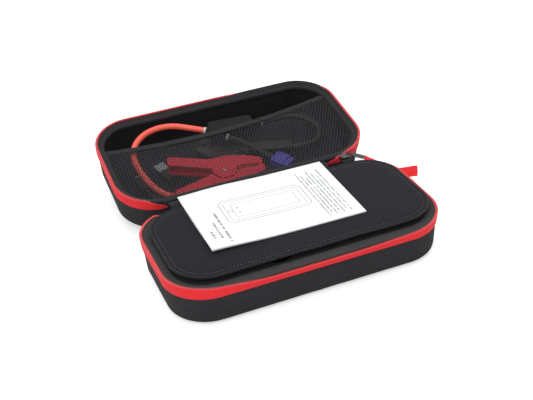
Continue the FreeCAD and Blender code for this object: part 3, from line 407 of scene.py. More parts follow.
def materials():
    """Every material by name."""
    return {
        "shell": cloth("shell_fabric", (0.028, 0.027, 0.031), 0.0009, 0.8, 0.0003, contrast=0.6),
        "lining": cloth("lining_knit", (0.016, 0.0155, 0.019), 0.0005, 0.75),
        "cover": cloth("cover_neoprene", (0.0135, 0.0120, 0.0185), 0.0007, 0.7, 0.00015, contrast=0.5),
        "piping": cloth("cover_piping", (0.026, 0.024, 0.030), 0.0005, 0.6),
        # The base's binding and the lid's binding are one cloth: the base's is painted lighter as lit, the
        # lid's painted darker as shaded.
        "base_binding": cloth("base_binding", (0.050, 0.048, 0.049), 0.0011, 0.75, 0.0002,
                              stretch=(1, 1, 0.5)),
        "lid_binding": cloth("lid_binding", (0.027, 0.026, 0.030), 0.0011, 0.75, 0.0002, stretch=(1, 1, 0.5)),
        "tape": cloth("zip_tape_red", (0.86, 0.030, 0.038), 0.0008, 0.6, 0.00015, 0.02, 0.10),
        "teeth": plastic("zip_teeth_red", (0.90, 0.11, 0.12), 0.35),
        "tape_thread": cloth("tape_thread", (0.70, 0.03, 0.035), 0.0004, 0.6),
        "thread": cloth("thread", (0.16, 0.155, 0.18), 0.0004, 0.6),
        "binding_thread": cloth("binding_thread", (0.085, 0.082, 0.085), 0.0004, 0.6),
        "hem": cloth("pocket_hem", (0.020, 0.0195, 0.022), 0.0007, 0.7),
        "net": cloth("net", (0.055, 0.052, 0.060), 0.0004, 0.55),
        "elastic": cloth("elastic", (0.030, 0.030, 0.033), 0.0007, 0.7),
        "foam": cloth("foam", (0.024, 0.024, 0.026), 0.0012, 0.95, 0.0003),
        "paper": leaflet_paper(),
        "slider": metal("slider_metal", (0.16, 0.16, 0.17), 0.35),
        "case": plastic("case_plastic", (0.018, 0.018, 0.020), 0.5, 0.00012),
        "rubber": plastic("rubber", (0.014, 0.014, 0.015), 0.7, 0.00008),
        "clear": plastic("lens", (0.85, 0.88, 0.9), 0.08, 0.0, Transmission_Weight=0.9),
        "reflector": metal("reflector", (0.85, 0.85, 0.86), 0.08),
        "foil": metal("cell_foil", (0.62, 0.62, 0.65), 0.35, (1, 1, 1)),
        "nickel": metal("strap_nickel", (0.62, 0.60, 0.55), 0.28),
        "board": plastic("board_green", (0.012, 0.10, 0.045), 0.4),
        "blue": plastic("plug_blue", (0.09, 0.075, 0.50), 0.4),
        "steel": metal("steel", (0.36, 0.36, 0.37), 0.3),
        "window": plastic("window", (0.02, 0.02, 0.025), 0.12, 0.0),
        "red": plastic("clamp_red", (0.76, 0.013, 0.036), 0.38, Specular_IOR_Level=0.4),
        "black": plastic("clamp_black", (0.015, 0.015, 0.016), 0.4),
        "copper": metal("copper", (0.72, 0.46, 0.22), 0.25),
        "cable_red": plastic("cable_red", (0.90, 0.115, 0.075), 0.42, 0.00003),
        "cable_black": plastic("cable_black", (0.014, 0.014, 0.015), 0.45, 0.00003),
        "white": plastic("ferrule_white", (0.50, 0.50, 0.52), 0.4),
        "module": plastic("lead_module", (0.008, 0.008, 0.009), 0.6, 0.00010, Specular_IOR_Level=0.2),
        "dull": metal("usb_shell", (0.20, 0.20, 0.21), 0.35),
    }


# Meshes

def solid(name, points, faces, place=UNMOVED, sharp=40):
    """Object from points in millimetres."""
    mesh = bpy.data.meshes.new(name)
    mesh.from_pydata([place @ Vector(p) * MM for p in points], [], faces)
    mesh.validate()
    mesh.shade_smooth()
    mesh.set_sharp_from_angle(angle=math.radians(sharp))
    return new_object(name, mesh)


def loft_faces(rings, size, closed_path, closed_ring, first=0):
    """Quads between rings of one size."""
    faces = []
    for ring in range(rings if closed_path else rings - 1):
        near, far = first + ring * size, first + (ring + 1) % rings * size
        for k in range(size if closed_ring else size - 1):
            following = (k + 1) % size
            faces.append((near + k, near + following, far + following, far + k))
    return faces


def loft(name, rings, place=UNMOVED, closed_path=False, sharp=40):
    """Closed tube through rings of points; its ends are capped unless the path is closed."""
    points = [p for ring in rings for p in ring]
    size = len(rings[0])
    faces = loft_faces(len(rings), size, closed_path, True)
    if not closed_path:
        faces.append(tuple(range(size)))
        faces.append(tuple(reversed(range(len(points) - size, len(points)))))
    return solid(name, points, [face[::-1] for face in faces], place, sharp)


def finish_piece(obj, body, material, slot, *nodes):
    """Give a piece its material and its body, and hide the CAD nodes that it stands for.
    A piece that bends between two bodies has None as its body. The slot is not used."""
    obj.data.materials.append(material)
    if body:
        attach(obj, body)
    if nodes:
        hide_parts(*nodes)
    return obj


def wave(point, size, amount):
    """Smooth unevenness: a noise of a given size in millimetres."""
    return amount * noise.noise(Vector(point) / size)


# The rim of a case half

def way_round(length, width, corner):
    """Length of the way round a rounded rectangle."""
    return 2 * (length + width) - (8 - 2 * math.pi) * corner


def rounded_at(s, length, width, corner):
    """Foot of the corner's radius, and outward normal, at a distance round a rounded rectangle.
    It starts in the middle of the back edge and runs toward +X."""
    half_x, half_y = length / 2 - corner, width / 2 - corner
    quarter = corner * math.pi / 2
    s %= 4 * (half_x + half_y + quarter)
    foot, angle = Vector((0, half_y)), math.pi / 2
    for straight in (half_x, 2 * half_y, 2 * half_x, 2 * half_y, half_x):
        ahead = Vector((math.sin(angle), -math.cos(angle)))
        if s <= straight:
            return foot + ahead * s, Vector((math.cos(angle), math.sin(angle)))
        s -= straight
        foot = foot + ahead * straight
        if s <= quarter:
            turned = angle - s / corner
            return foot, Vector((math.cos(turned), math.sin(turned)))
        s -= quarter
        angle -= math.pi / 2
    return foot, Vector((math.cos(angle), math.sin(angle)))


CASE_OUTLINE = (CASE_LENGTH, CASE_WIDTH, CASE_CORNER)
PERIMETER = way_round(*CASE_OUTLINE)


def rim_point(s, depth, z):
    """Point of a case half at a distance round its rim, a depth inside its wall, at a height."""
    foot, normal = rounded_at(s, *CASE_OUTLINE)
    reach = CASE_CORNER - DRAFT * (HALF_DEPTH - z) / HALF_DEPTH - depth
    return Vector((*(foot + normal * reach), z))


def within(low, value, high):
    """The value, kept between two limits."""
    return max(low, min(high, value))


def eased(value, start, end):
    """Smooth step from 0 at start to 1 at end."""
    share = within(0.0, (value - start) / (end - start), 1.0)
    return share * share * (3 - 2 * share)


def run(start, end, step):
    """Evenly spaced distances from start to end, both included."""
    count = max(1, round((end - start) / step))
    return [start + (end - start) * k / count for k in range(count + 1)]


def round_rim(step):
    """Distances all the way round the rim."""
    return run(0, PERIMETER, step)[:-1]


def zip_run(step, beyond=0.0):
    """Distances along the zip, which leaves the hinge free but for what runs on beyond its end."""
    return run(HINGE_LENGTH / 2, PERIMETER - HINGE_LENGTH / 2 + beyond, step)


# Case

def shell_rings(depth, z_floor, edge, z_top, unevenness=0.0, ledge=None):
    """Rings of a half's wall and floor, from its top edge to the middle of its floor."""
    steps = 8
    profile = [(depth, z) for z in run(z_top, z_floor + edge, 2.2 if ledge else 4.5)]
    for k in range(1, steps + 1):
        turn = math.pi / 2 * k / steps
        profile.append((depth + edge * (1 - math.cos(turn)), z_floor + edge * (1 - math.sin(turn))))
    around = round_rim(4.0)
    ledge_top, ledge_foot, inward = ledge or (z_top, z_floor, 0.0)
    rings = []
    for ring_depth, z in profile:
        below_tape = within(0.0, (TAPE_LOW - z) / 6, 1.0)
        step = inward * eased(z, ledge_top, ledge_foot)
        ring = []
        for s in around:
            dent = abs(wave(rim_point(s, ring_depth, z), 30, unevenness)) * below_tape
            ring.append(rim_point(s, ring_depth + dent + step, z))
        rings.append(ring)
    for share in (0.93, 0.8, 0.6, 0.4, 0.2, 0.05):
        rings.append([Vector((p.x * share, p.y * share, z_floor)) for p in rings[len(profile) - 1]])
    return rings


def shell(half, material):
    """Moulded, fabric-covered shell of one half."""
    outside = shell_rings(TAPE_THICK, 0, EDGE_RADIUS, SHELL_TOP, 0.5)
    inside = shell_rings(TAPE_THICK + WALL, WALL, EDGE_RADIUS - WALL, SHELL_TOP)
    rings = list(reversed(outside)) + inside
    obj = loft(f"{half}_shell_fabric", rings, HALVES[half], sharp=50)
    finish_piece(obj, half, material, "shell_fabric", f"{half}_shell")


def dip(half, s):
    """How far the zip's free edge sags between two places along the base's front."""
    if half == "lid":
        return 0.0
    deepest, front = 5.2, PERIMETER / 2
    return deepest * eased(s, front - 185, front - 30) * eased(s, front + 118, front + 40)


def hidden(half, s):
    """1 where the lid's binding rolls over its tape, along the far right of its rim."""
    if half == "base":
        return 0.0
    middle = PERIMETER / 2
    return eased(s, middle + 5, middle + 50) * eased(s, middle + 150, middle + 130)


def binding(half, material):
    """Ribbed band that wraps the shell's edge, puckered a little where it turns."""
    outer, inner = TAPE_THICK, TAPE_THICK + BINDING_WIDTH[half]
    bottom, top = SHELL_TOP, BINDING_TOP
    middle = (outer + inner) / 2
    rings = []
    for s in round_rim(1.0):
        _, normal = rounded_at(s, *CASE_OUTLINE)
        turning = min(abs(normal.x), abs(normal.y)) ** 0.5
        pucker = turning * 0.16 * math.sin(s * 2 * math.pi / 3.1)
        at_hinge = min(s, PERIMETER - s) < HINGE_LENGTH / 2 + 4
        tuck = 1.7 - 1.6 * hidden(half, s)
        rise = 0.0 if at_hinge else max(0.0, HALF_DEPTH - dip(half, s) - tuck - top)
        profile = [(outer, bottom), (outer + 0.1, top + rise - 0.5), (outer + 0.8, top + rise - 0.05),
                   (outer + 2.6, top + 0.72 * rise), (middle, top + 0.3 * rise), (inner - 2.0, top - 0.15),
                   (inner - 0.8, top - 0.45), (inner - 0.15, top - 1.0), (inner, bottom),
                   (inner - 0.5, bottom - 2.2), (inner - 2.0, bottom - 2.6), (inner - 3.0, bottom)]
        rings.append([rim_point(s, depth + wave((s, z, 0), 25, 0.25) * (depth > middle),
                                z + pucker * (middle <= depth < inner)) for depth, z in profile])
    obj = loft(f"{half}_binding_tape", rings, HALVES[half], closed_path=True)
    finish_piece(obj, half, material, "binding_grey", f"{half}_binding")


def tape_stations(half, step):
    """Distances round the rim at which the tape has a section. The lid's runs on over its hinge."""
    return zip_run(step, TAPE_OVERLAP if half == "lid" else 0.0)


def tape_edges(half, s):
    """Low and high edge of the zip tape, which narrows to a point at the hinge's ends."""
    stations = tape_stations(half, 1.0)
    taper, last_taper = 22, 30 if half == "lid" else 22
    share = min(1.0, (s - stations[0] + 0.5) / taper, (stations[-1] - s + 0.5) / last_taper)
    height = HALF_DEPTH - TAPE_LOW
    high = TAPE_LOW + height * (0.1 + 0.9 * share ** 0.7) - dip(half, s) - 0.5 - 0.9 * hidden(half, s)
    return TAPE_LOW, high


def tape_lean(half, s):
    """How far the tape's free edge leans outward, as a negative depth."""
    over_hinge = max(0.0, s - (PERIMETER - HINGE_LENGTH / 2 - 4))
    return -0.28 * dip(half, s) - min(1.0, over_hinge / 4)


def zip_tape(half, material):
    """Red tape round the wall."""
    rings = []
    for s in tape_stations(half, 2.0):
        low, high = tape_edges(half, s)
        lean = tape_lean(half, s)
        swell = lean / 3 - 0.25 + 0.12 * math.sin(s / 9.0)
        middle = (low + high) / 2
        profile = [(0.15, low), (0, low + 0.4), (swell, middle), (lean * 0.85, high - 0.9),
                   (lean, high - 0.25), (lean + 0.35, high), (lean + TAPE_THICK, high - 0.2),
                   (swell + TAPE_THICK, middle), (TAPE_THICK, low)]
        rings.append([rim_point(s, depth, z) for depth, z in profile])
    obj = loft(f"{half}_zip_tape_woven", rings, HALVES[half])
    finish_piece(obj, half, material, "zip_red", f"{half}_zip_tape")


def zip_teeth(half, material):
    """Coil of the zip: a row of small loops on the tape's free edge."""
    pitch, half_width, half_height, sides = 2.2, 0.52, 0.6, 6
    stations = ((-0.15, 0.7), (0.25, 1.0), (1.9, 1.0), (2.45, 0.7))    # depth and swell
    points, faces = [], []
    for s in zip_run(pitch):
        _, normal = rounded_at(s, *CASE_OUTLINE)
        ahead = Vector((normal.y, -normal.x, 0))
        first = len(points)
        z = tape_edges(half, s)[1] - 0.1
        for depth, swell in stations:
            centre = rim_point(s, depth + tape_lean(half, s), z)
            for k in range(sides):
                turn = 2 * math.pi * k / sides
                points.append(centre + ahead * half_width * swell * math.cos(turn)
                              + Vector((0, 0, half_height * swell * math.sin(turn))))
        faces += loft_faces(len(stations), sides, False, True, first)
        faces.append(tuple(range(first, first + sides)))
        faces.append(tuple(reversed(range(len(points) - sides, len(points)))))
    obj = solid(f"{half}_zip_coil", points, faces, HALVES[half])
    finish_piece(obj, half, material, "zip_teeth_red", f"{half}_zip_teeth")


def stitches(name, path, spot, stations, length, radius, place=UNMOVED):
    """Row of threads, each a spindle along a path. The spot is their depth and height."""
    points, faces = [], []
    for s in stations:
        start, end = path(s, *spot), path(s + length, *spot)
        heading = (end - start).normalized()
        side = heading.cross(Vector((0, 0, 1))).normalized()
        rise = side.cross(heading)
        first, middle = len(points), (start + end) / 2
        ring = [middle + (side * math.cos(k * math.pi / 2) + rise * math.sin(k * math.pi / 2)) * radius
                for k in range(4)]
        points += [start, end] + ring
        for k in range(4):
            near, far = first + 2 + k, first + 2 + (k + 1) % 4
            faces += [(first, far, near), (first + 1, near, far)]
    return solid(name, points, faces, place, sharp=80)


def binding_stitches(half, material):
    """Row of stitches along the binding's inner edge."""
    pitch, length, radius = 3.2, 2.1, 0.28
    spot, stations = (TAPE_THICK + BINDING_WIDTH[half] - 2.6, BINDING_TOP + 0.02), round_rim(pitch)
    obj = stitches(f"{half}_binding_stitches", rim_point, spot, stations, length, radius, HALVES[half])
    finish_piece(obj, half, material, "binding_grey")


def tape_stitches(half, material):
    """Row of stitches that hold the zip tape on the wall."""
    pitch, length, radius = 3.0, 2.0, 0.22
    spot, stations = (-0.05, TAPE_LOW + 1.5), zip_run(pitch)[1:-1]
    obj = stitches(f"{half}_tape_stitches", rim_point, spot, stations, length, radius, HALVES[half])
    finish_piece(obj, half, material, "zip_red")


def zip_tail(material):
    """Stub of fabric at the corner, which the parked slider holds."""
    edge_y = box_mm("zip_slider")[0].y + 2.0
    steps, rows = 3, []
    for x in run(HINGE_LENGTH / 2, HINGE_LENGTH / 2 + 11, 2.0):
        past = max(0.0, x - (CASE_LENGTH / 2 - CASE_CORNER))
        wall_y = CASE_WIDTH / 2 - CASE_CORNER + math.sqrt(CASE_CORNER ** 2 - past ** 2)
        z = HALF_DEPTH - 0.4 + 0.15 * math.sin(x)
        wall, free = Vector((x, wall_y, z)), Vector((x, edge_y, z))
        rows.append([wall.lerp(free, k / steps) for k in range(steps + 1)])
    obj = sheet_solid("zip_tape_tail", rows, TAPE_THICK)
    finish_piece(obj, "base", material, "neoprene")


def sheet_solid(name, rows, thick, place=UNMOVED, sharp=40):
    """Closed sheet of an even thickness, round a grid of middle points."""
    count, size = len(rows), len(rows[0])
    points = []
    for side in (0.5, -0.5):
        for i, row in enumerate(rows):
            for j, point in enumerate(row):
                along = rows[min(i + 1, count - 1)][j] - rows[max(i - 1, 0)][j]
                across = row[min(j + 1, size - 1)] - row[max(j - 1, 0)]
                points.append(point + along.cross(across).normalized() * thick * side)
    under = count * size
    faces = []
    for i in range(count - 1):
        for j in range(size - 1):
            quad = (i * size + j, (i + 1) * size + j, (i + 1) * size + j + 1, i * size + j + 1)
            faces.append(quad)
            faces.append(tuple(under + k for k in reversed(quad)))
    border = [i * size for i in range(count)] + [(count - 1) * size + j for j in range(1, size)]
    border += [i * size + size - 1 for i in reversed(range(count - 1))] + list(range(size - 2, 0, -1))
    for near, far in zip(border, border[1:] + border[:1]):
        faces.append((far, near, under + near, under + far))
    return solid(name, points, faces, place, sharp)


def hinge_fabric(material):
    """Fabric that joins the halves along the hinge side, drawn as it lies with the lid laid back; it belongs
    to neither half.
    """
    side = [(69.5, 30.4), (69.8, 33.0), (70.6, 35.6), (72.6, 38.0), (75.2, 39.4)]
    half_width = HINGE_LENGTH / 2
    rows = []
    for x in run(-half_width, half_width - TAPE_OVERLAP, 5.0):
        drop = 0.35 * math.sin(x / 11.0)
        base = [Vector((x, y, z)) for y, z in side]
        lid = [LID @ Vector((x, CASE_WIDTH / 2 - y, z - HALF_DEPTH)) for y, z in side]
        rows.append(base + [Vector((x, HINGE.y, HINGE.z - 1.2 - abs(drop)))] + lid[::-1])
    obj = sheet_solid("hinge_fabric", rows, 1.0)
    finish_piece(obj, None, material, "neoprene", "base_hinge", "lid_hinge")
    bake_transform(obj)


def case_half(half, made):
    """All the outer pieces of one half."""
    shell(half, made["shell"])
    # The base gets the binding cloth painted lighter as lit, the lid the same cloth painted darker as shaded.
    binding(half, made[f"{half}_binding"])
    binding_stitches(half, made["binding_thread"])
    zip_tape(half, made["tape"])
    tape_stitches(half, made["tape_thread"])
    zip_teeth(half, made["teeth"])


# Inside the lid

def lining(material):
    """Knitted lining, moulded with a ledge below the rim."""
    outside = shell_rings(LINING_DEPTH, LINING_FLOOR - LINING, EDGE_RADIUS - WALL, SHELL_TOP - 0.3)
    inside = shell_rings(LINING_DEPTH + LINING, LINING_FLOOR, EDGE_RADIUS - WALL - LINING, SHELL_TOP - 0.3,
                         ledge=LEDGE)
    obj = loft("lid_lining_knit", list(reversed(outside)) + inside, LID_HALF, sharp=60)
    finish_piece(obj, "lid", material, "neoprene", "lid_lining")


def circle_through(a, b, c):
    """Centre and radius of the circle through three points."""
    ax, ay, bx, by, cx, cy = *a, *b, *c
    scale = 2 * (ax * (by - cy) + bx * (cy - ay) + cx * (ay - by))
    squares = ax * ax + ay * ay, bx * bx + by * by, cx * cx + cy * cy
    x = (squares[0] * (by - cy) + squares[1] * (cy - ay) + squares[2] * (ay - by)) / scale
    y = (squares[0] * (cx - bx) + squares[1] * (ax - cx) + squares[2] * (bx - ax)) / scale
    return Vector((x, y)), (Vector((x, y)) - Vector(a)).length


ARC_CENTRE, ARC_RADIUS = circle_through(*ELASTIC_LINE)


def elastic_v(u, offset=0.0):
    """v of the elastic's middle line, moved by an offset toward the lid's far side."""
    return ARC_CENTRE.y - math.sqrt((ARC_RADIUS - offset) ** 2 - (u - ARC_CENTRE.x) ** 2)


def elastic(material):
    """Gathered elastic along the net's free edge."""
    reach = CASE_LENGTH / 2 - NET_DEPTH - 0.8
    profile = [(-3.5, 0.0), (-3.1, 0.9), (-2.1, 1.25), (-1.1, 0.95), (0.0, 1.25), (1.1, 0.95), (2.1, 1.25),
               (3.1, 0.9), (3.5, 0.0), (3.1, -0.9), (0.0, -1.2), (-3.1, -0.9)]
    rings = []
    for u in run(-reach, reach, 1.0):
        gather = 0.16 * math.sin(u * 2.1) + wave((u, 0, 0), 9, 0.35)
        rings.append([Vector((u, elastic_v(u, a), NET_W + b * (1 + gather) + 0.5 * gather))
                      for a, b in profile])
    obj = loft("pocket_elastic_band", rings, LID, sharp=60)
    return finish_piece(obj, "lid", material, "mesh_black", "pocket_elastic")


def pocket_limit(u, v):
    """The point itself, or the nearest one inside the lid's lining."""
    inset = NET_DEPTH + 0.5
    half_x, half_y, corner = CASE_LENGTH / 2 - inset, CASE_WIDTH / 2 - inset, CASE_CORNER - inset
    x, y = u, v - CASE_WIDTH / 2
    core = Vector((within(corner - half_x, x, half_x - corner), within(corner - half_y, y, half_y - corner)))
    away = Vector((x, y)) - core
    if away.length > corner:
        away = away.normalized() * corner
    return core.x + away.x, core.y + away.y + CASE_WIDTH / 2


def net_w(u, v):
    """Height of the net, which gives a little over the clamps and the cables."""
    deepest, middle, reach = 2.2, (-10, 48), (105, 44)
    sides = [max(0.0, 1 - ((at - m) / half) ** 2) for at, m, half in zip((u, v), middle, reach)]
    return NET_W - deepest * (sides[0] * sides[1]) ** 0.8 + wave((u, v, 0), 22, 0.35)


def net_cells(pitch):
    """Middles of the cells that lie in the pocket, row by row."""
    row_step = pitch * math.sqrt(3) / 2
    columns = int(CASE_LENGTH / 2 / pitch) + 1
    for row in range(int(CASE_WIDTH / row_step)):
        for column in range(-columns, columns + 1):
            u, v = (column + 0.5 * (row % 2)) * pitch, 3.0 + row * row_step
            inside = (Vector(pocket_limit(u, v)) - Vector((u, v))).length < 0.4 * pitch
            if inside and v <= elastic_v(u) + 0.4 * pitch:
                yield u, v


def net(material):
    """Open hexagonal net from the lid's near wall to the elastic, and the area of its strands."""
    pitch, strand = 3.5, 0.7
    outer = pitch / math.sqrt(3)
    inner = outer - strand / math.sqrt(3)
    turns = [math.radians(30 + 60 * k) for k in range(6)]
    points, faces, shared = [], [], {}

    def corner(u, v):
        """Number of a corner, kept inside the pocket and shared with the next cells."""
        u, v = pocket_limit(u, min(v, elastic_v(within(-NET_REACH, u, NET_REACH))))
        key = (round(u, 2), round(v, 2))
        if key not in shared:
            shared[key] = len(points)
            points.append(Vector((u, v, net_w(u, v))))
        return shared[key]

    for u, v in net_cells(pitch):
        rings = [[corner(u + radius * math.cos(t), v + radius * math.sin(t)) for t in turns]
                 for radius in (outer, inner)]
        for k in range(6):
            following = (k + 1) % 6
            face = (rings[0][k], rings[0][following], rings[1][following], rings[1][k])
            if len(set(face)) == 4:
                faces.append(face)
    obj = solid("pocket_net", points, faces, LID)
    area = sum(face.area for face in obj.data.polygons)
    thick = obj.modifiers.new("thick", "SOLIDIFY")
    thick.thickness = 0.35 * MM
    thick.offset = 0
    return finish_piece(obj, "lid", material, "mesh_black", "pocket_mesh"), area


def net_hem(material):
    """Flat hem that holds the net's edge on the lid's wall."""
    width, steps, z = 4.2, 3, HALF_DEPTH + NET_W
    pairs = [(rim_point(s, NET_DEPTH - 0.6, z), rim_point(s, NET_DEPTH + width, z)) for s in round_rim(3.0)]
    past = [k for k, (edge, _) in enumerate(pairs)
            if CASE_WIDTH / 2 - edge.y >= elastic_v(within(-NET_REACH, -edge.x, NET_REACH))]
    pairs = pairs[past[-1] + 1:] + pairs[:past[0]]
    rows = []
    for edge, inner in pairs:
        shares = [k / steps for k in range(steps + 1)]
        rows.append([edge.lerp(inner, share) + Vector((0, 0, 0.35 - 0.25 * share)) for share in shares])
    obj = sheet_solid("pocket_net_hem", rows, 0.7, LID_HALF)
    return finish_piece(obj, "lid", material, "mesh_black")


def lid_inside(made):
    """Lining and pocket of the lid."""
    lining(made["lining"])
    mesh, area = net(made["net"])
    hem = net_hem(made["hem"])
    band = elastic(made["elastic"])


# Inner cover and leaflet

COVER_LOW_CORNER, COVER_HIGH_CORNER = box_mm("cover_piping")
COVER_LOW_CORNER += COVER_SPREAD
COVER_LENGTH = COVER_HIGH_CORNER.x - COVER_LOW_CORNER.x
COVER_WIDTH = COVER_HIGH_CORNER.y - COVER_LOW_CORNER.y
COVER_MIDDLE = (COVER_LOW_CORNER + COVER_HIGH_CORNER) / 2
COVER_LOW, COVER_TOP = (corner.z for corner in box_mm("cover_skin"))
COVER_OUTLINE = (COVER_LENGTH, COVER_WIDTH, COVER_CORNER)
COVER_PERIMETER = way_round(*COVER_OUTLINE)


def round_cover(step):
    """Distances all the way round the cover."""
    return run(0, COVER_PERIMETER, step)[:-1]


def cover_plan(s, depth):
    """Point of the plan a depth inside the cover's outline."""
    foot, normal = rounded_at(s, *COVER_OUTLINE)
    return foot + normal * (COVER_CORNER - depth) + COVER_MIDDLE.xy


def cover_point(s, depth, z):
    """Point a depth inside the cover's outline, which waves a little along its edge."""
    point = cover_plan(s, depth)
    edge = max(0.0, 1 - depth / 14)
    return Vector((*point, z + edge * wave((point.x, point.y, 3.0), 42, 0.8)))


def cover_skin(material):
    """Smooth skin of the cover, with a sewn groove inside its piping."""
    top, low = COVER_TOP, COVER_LOW
    profile = [(30, low), (12, low), (3.4, low + 0.1), (2.7, low + 0.5), (2.6, top - 1.0), (3.0, top - 0.55),
               (4.0, top - 0.25), (5.0, top - 0.32), (5.5, top - 0.75), (6.0, top - 0.32), (7.2, top - 0.1),
               (11, top + 0.12), (17, top + 0.22), (26, top + 0.26), (33, top + 0.28)]
    rings = [[cover_point(s, depth, z) for s in round_cover(3.0)] for depth, z in profile]
    centre = Vector((*COVER_MIDDLE.xy, 0))
    under, over = rings[0], rings[-1]
    for share in (0.8, 0.6, 0.4, 0.2, 0.04):
        rings.append([centre.lerp(p, share) + Vector((0, 0, p.z * (1 - share))) for p in over])
        rings.insert(0, [centre.lerp(p, share) + Vector((0, 0, p.z * (1 - share))) for p in under])
    obj = loft("cover_skin_fabric", rings, sharp=60)
    finish_piece(obj, "cover", material, "neoprene", "cover_skin")


def cover_pad(material):
    """Foam pad under the cover."""
    low, high = box_mm("cover_pad")
    margin = low.x - box_mm("cover_piping")[0].x + 2.0
    profile = [(30, low.z), (margin + 3, low.z), (margin + 1.2, low.z + 0.3), (margin + 0.3, low.z + 1.2),
               (margin, high.z - 0.2), (margin + 4, high.z - 0.1), (30, high.z - 0.1)]
    rings = [[Vector((*cover_plan(s, depth), z)) for s in round_cover(5.0)] for depth, z in profile]
    obj = loft("cover_pad_foam", rings, sharp=50)
    finish_piece(obj, "cover", material, "tray_foam", "cover_pad")


def cover_piping(material):
    """Fabric-wrapped cord along the cover's edge."""
    radius, sides = 1.5, 10
    rings = []
    for s in round_cover(1.6):
        _, normal = rounded_at(s, *COVER_OUTLINE)
        centre = cover_point(s, 1.6, COVER_MIDDLE.z)
        size = radius + 0.05 * math.sin(s * 2.6)
        rings.append([centre + Vector((*(normal * size * math.cos(a)), size * math.sin(a)))
                      for a in (2 * math.pi * k / sides for k in range(sides))])
    obj = loft("cover_piping_cord", rings, closed_path=True)
    finish_piece(obj, "cover", material, "neoprene", "cover_piping")


def cover_stitches(material):
    """Thread in the cover's sewn groove."""
    pitch, length, radius = 3.4, 2.3, 0.4
    obj = stitches("cover_stitches", cover_point, (5.5, COVER_TOP - 0.4), round_cover(pitch), length, radius)
    finish_piece(obj, "cover", material, "neoprene")


def cover_hinge(material):
    """Fabric strip that the cover swings on."""
    low, high = box_mm("cover_hinge_base")
    top = box_mm("cover_hinge_strip")[1].z
    section = [(high.y + 1.4, low.z + 0.5), (high.y, low.z + 0.6), (high.y - 1.0, low.z + 1.6),
               (low.y + 0.9, high.z - 0.4), (low.y + 0.6, top - 0.4), (low.y - 0.6, top + 0.2)]
    rows = [[Vector((x, y, z)) for y, z in section] for x in run(low.x, high.x, 5.0)]
    obj = sheet_solid("cover_hinge_fabric", rows, 0.9)
    finish_piece(obj, None, material, "neoprene", "cover_hinge_strip", "cover_hinge_base")
    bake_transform(obj)


def leaflet(material):
    """Folded leaflet whose front left corner curls up."""
    low, high = box_mm("leaflet")
    middle = (low + high) / 2
    turn = Matrix.Translation((middle.x, middle.y, low.z)) @ Matrix.Rotation(LEAFLET_TURN, 4, "Z")
    half_x, half_y = LEAFLET_SIZE[0] / 2, LEAFLET_SIZE[1] / 2
    rest, gap, fold = 0.15, 0.75, 0.375    # height on the cover, between the leaves, and of the fold

    def lift(a, b, upper):
        """How far the paper rises off the cover."""
        corner = math.exp(-((a + half_x) / 42) ** 2 - ((b + half_y) / 34) ** 2)
        bulge = math.exp(-((a + 34) / 32) ** 2 - ((b - half_y) / 30) ** 2)
        return (3.0 * corner + 1.4 * bulge) * (1.0 if upper else 0.85)

    section = [(b, rest, False) for b in run(-half_y, half_y - 1, 6.0)]
    section += [(half_y - 0.3, 0.25, False), (half_y, rest + fold, False), (half_y - 0.3, gap + 0.05, True)]
    section += [(b, rest + gap, True) for b in run(half_y - 1, -half_y, 6.0)]
    rows = [[Vector((a, b, z + lift(a, b, upper))) for b, z, upper in section]
            for a in run(-half_x, half_x, 6.0)]
    obj = sheet_solid("leaflet_folded", rows, 0.28, turn, sharp=70)
    finish_piece(obj, "leaflet", material, "paper", "leaflet")
    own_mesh(obj)


def inner_cover(made):
    """Cover that closes the base, and the leaflet on it."""
    cover_skin(made["cover"])
    cover_pad(made["foam"])
    cover_piping(made["piping"])
    cover_stitches(made["thread"])
    cover_hinge(made["cover"])
    leaflet(made["paper"])


# Zip pull

def ribbon(material):
    """Woven ribbon that sags from the pull's plate and levels out toward its end."""
    roll, pitch, yaw = (math.radians(angle) for angle in PULL_ANGLES)
    pivot = Vector(joint("zip_pull_swing")["pos_m"]) / MM
    place = (Matrix.Translation(pivot) @ Matrix.Rotation(yaw, 4, "Z") @ Matrix.Rotation(pitch, 4, "Y")
             @ Matrix.Rotation(roll, 4, "X"))
    down = place.to_3x3().inverted() @ Vector((0, 0, -1))
    length, half_width = 64.6, 6.0
    rows = []
    for t in run(0, length, 3.0):
        share = t / length
        sag = 9.5 * math.sin(math.pi * share) ** 1.3
        width = half_width * (0.42 + 0.58 * eased(share, 0.02, 0.3))
        along = RIBBON_START + t * 0.955
        rows.append([Vector((along, k / 3 * width, 0.25 * math.cos(k * 1.2))) + down * sag
                     for k in range(-3, 4)])
    obj = sheet_solid("zip_pull_ribbon_woven", rows, 1.1, place, sharp=50)
    finish_piece(obj, "zip_pull", material, "zip_red", "zip_pull_ribbon")


# Materials of the CAD pieces that stay

NODE_MATERIALS = {
    "slider": ("zip_slider", "zip_pull_plate"),
    "foam": ("base_tray",),
    "case": ("starter_lower_case", "starter_upper_case", "power_button"),
    "module": ("lead_module",),
    "dull": ("usb_shells",),
    "clear": ("starter_lamp_lens",),
    "reflector": ("starter_lamp_reflector",),
    "foil": ("starter_cells",),
    "nickel": ("starter_cell_straps",),
    "rubber": ("starter_seam_band", "socket_cover", "usb_grips"),
    "steel": ("starter_screws", "starter_usb_sockets", "button_spring", "red_clamp_pin",
              "black_clamp_pin", "red_clamp_spring", "black_clamp_spring"),
    "blue": ("starter_output_socket", "battery_plug"),
    "board": ("starter_board",),
    "window": ("starter_indicator",),
    "white": ("lead_ferrules",),
    "copper": ("battery_plug_contacts", "red_clamp_jaw_lower", "red_clamp_jaw_upper",
               "black_clamp_jaw_lower", "black_clamp_jaw_upper"),
    "red": ("red_clamp_body", "red_clamp_lever"),
    "black": ("black_clamp_body", "black_clamp_lever"),
}


def dress_nodes(made):
    """Give every CAD piece that stays its own finish."""
    for name, nodes in NODE_MATERIALS.items():
        for node in nodes:
            for slot in frame["nodes"][node].material_slots:
                slot.material = made[name]


# Cords: their points are the CAD's routes, in the lid frame, in metres.

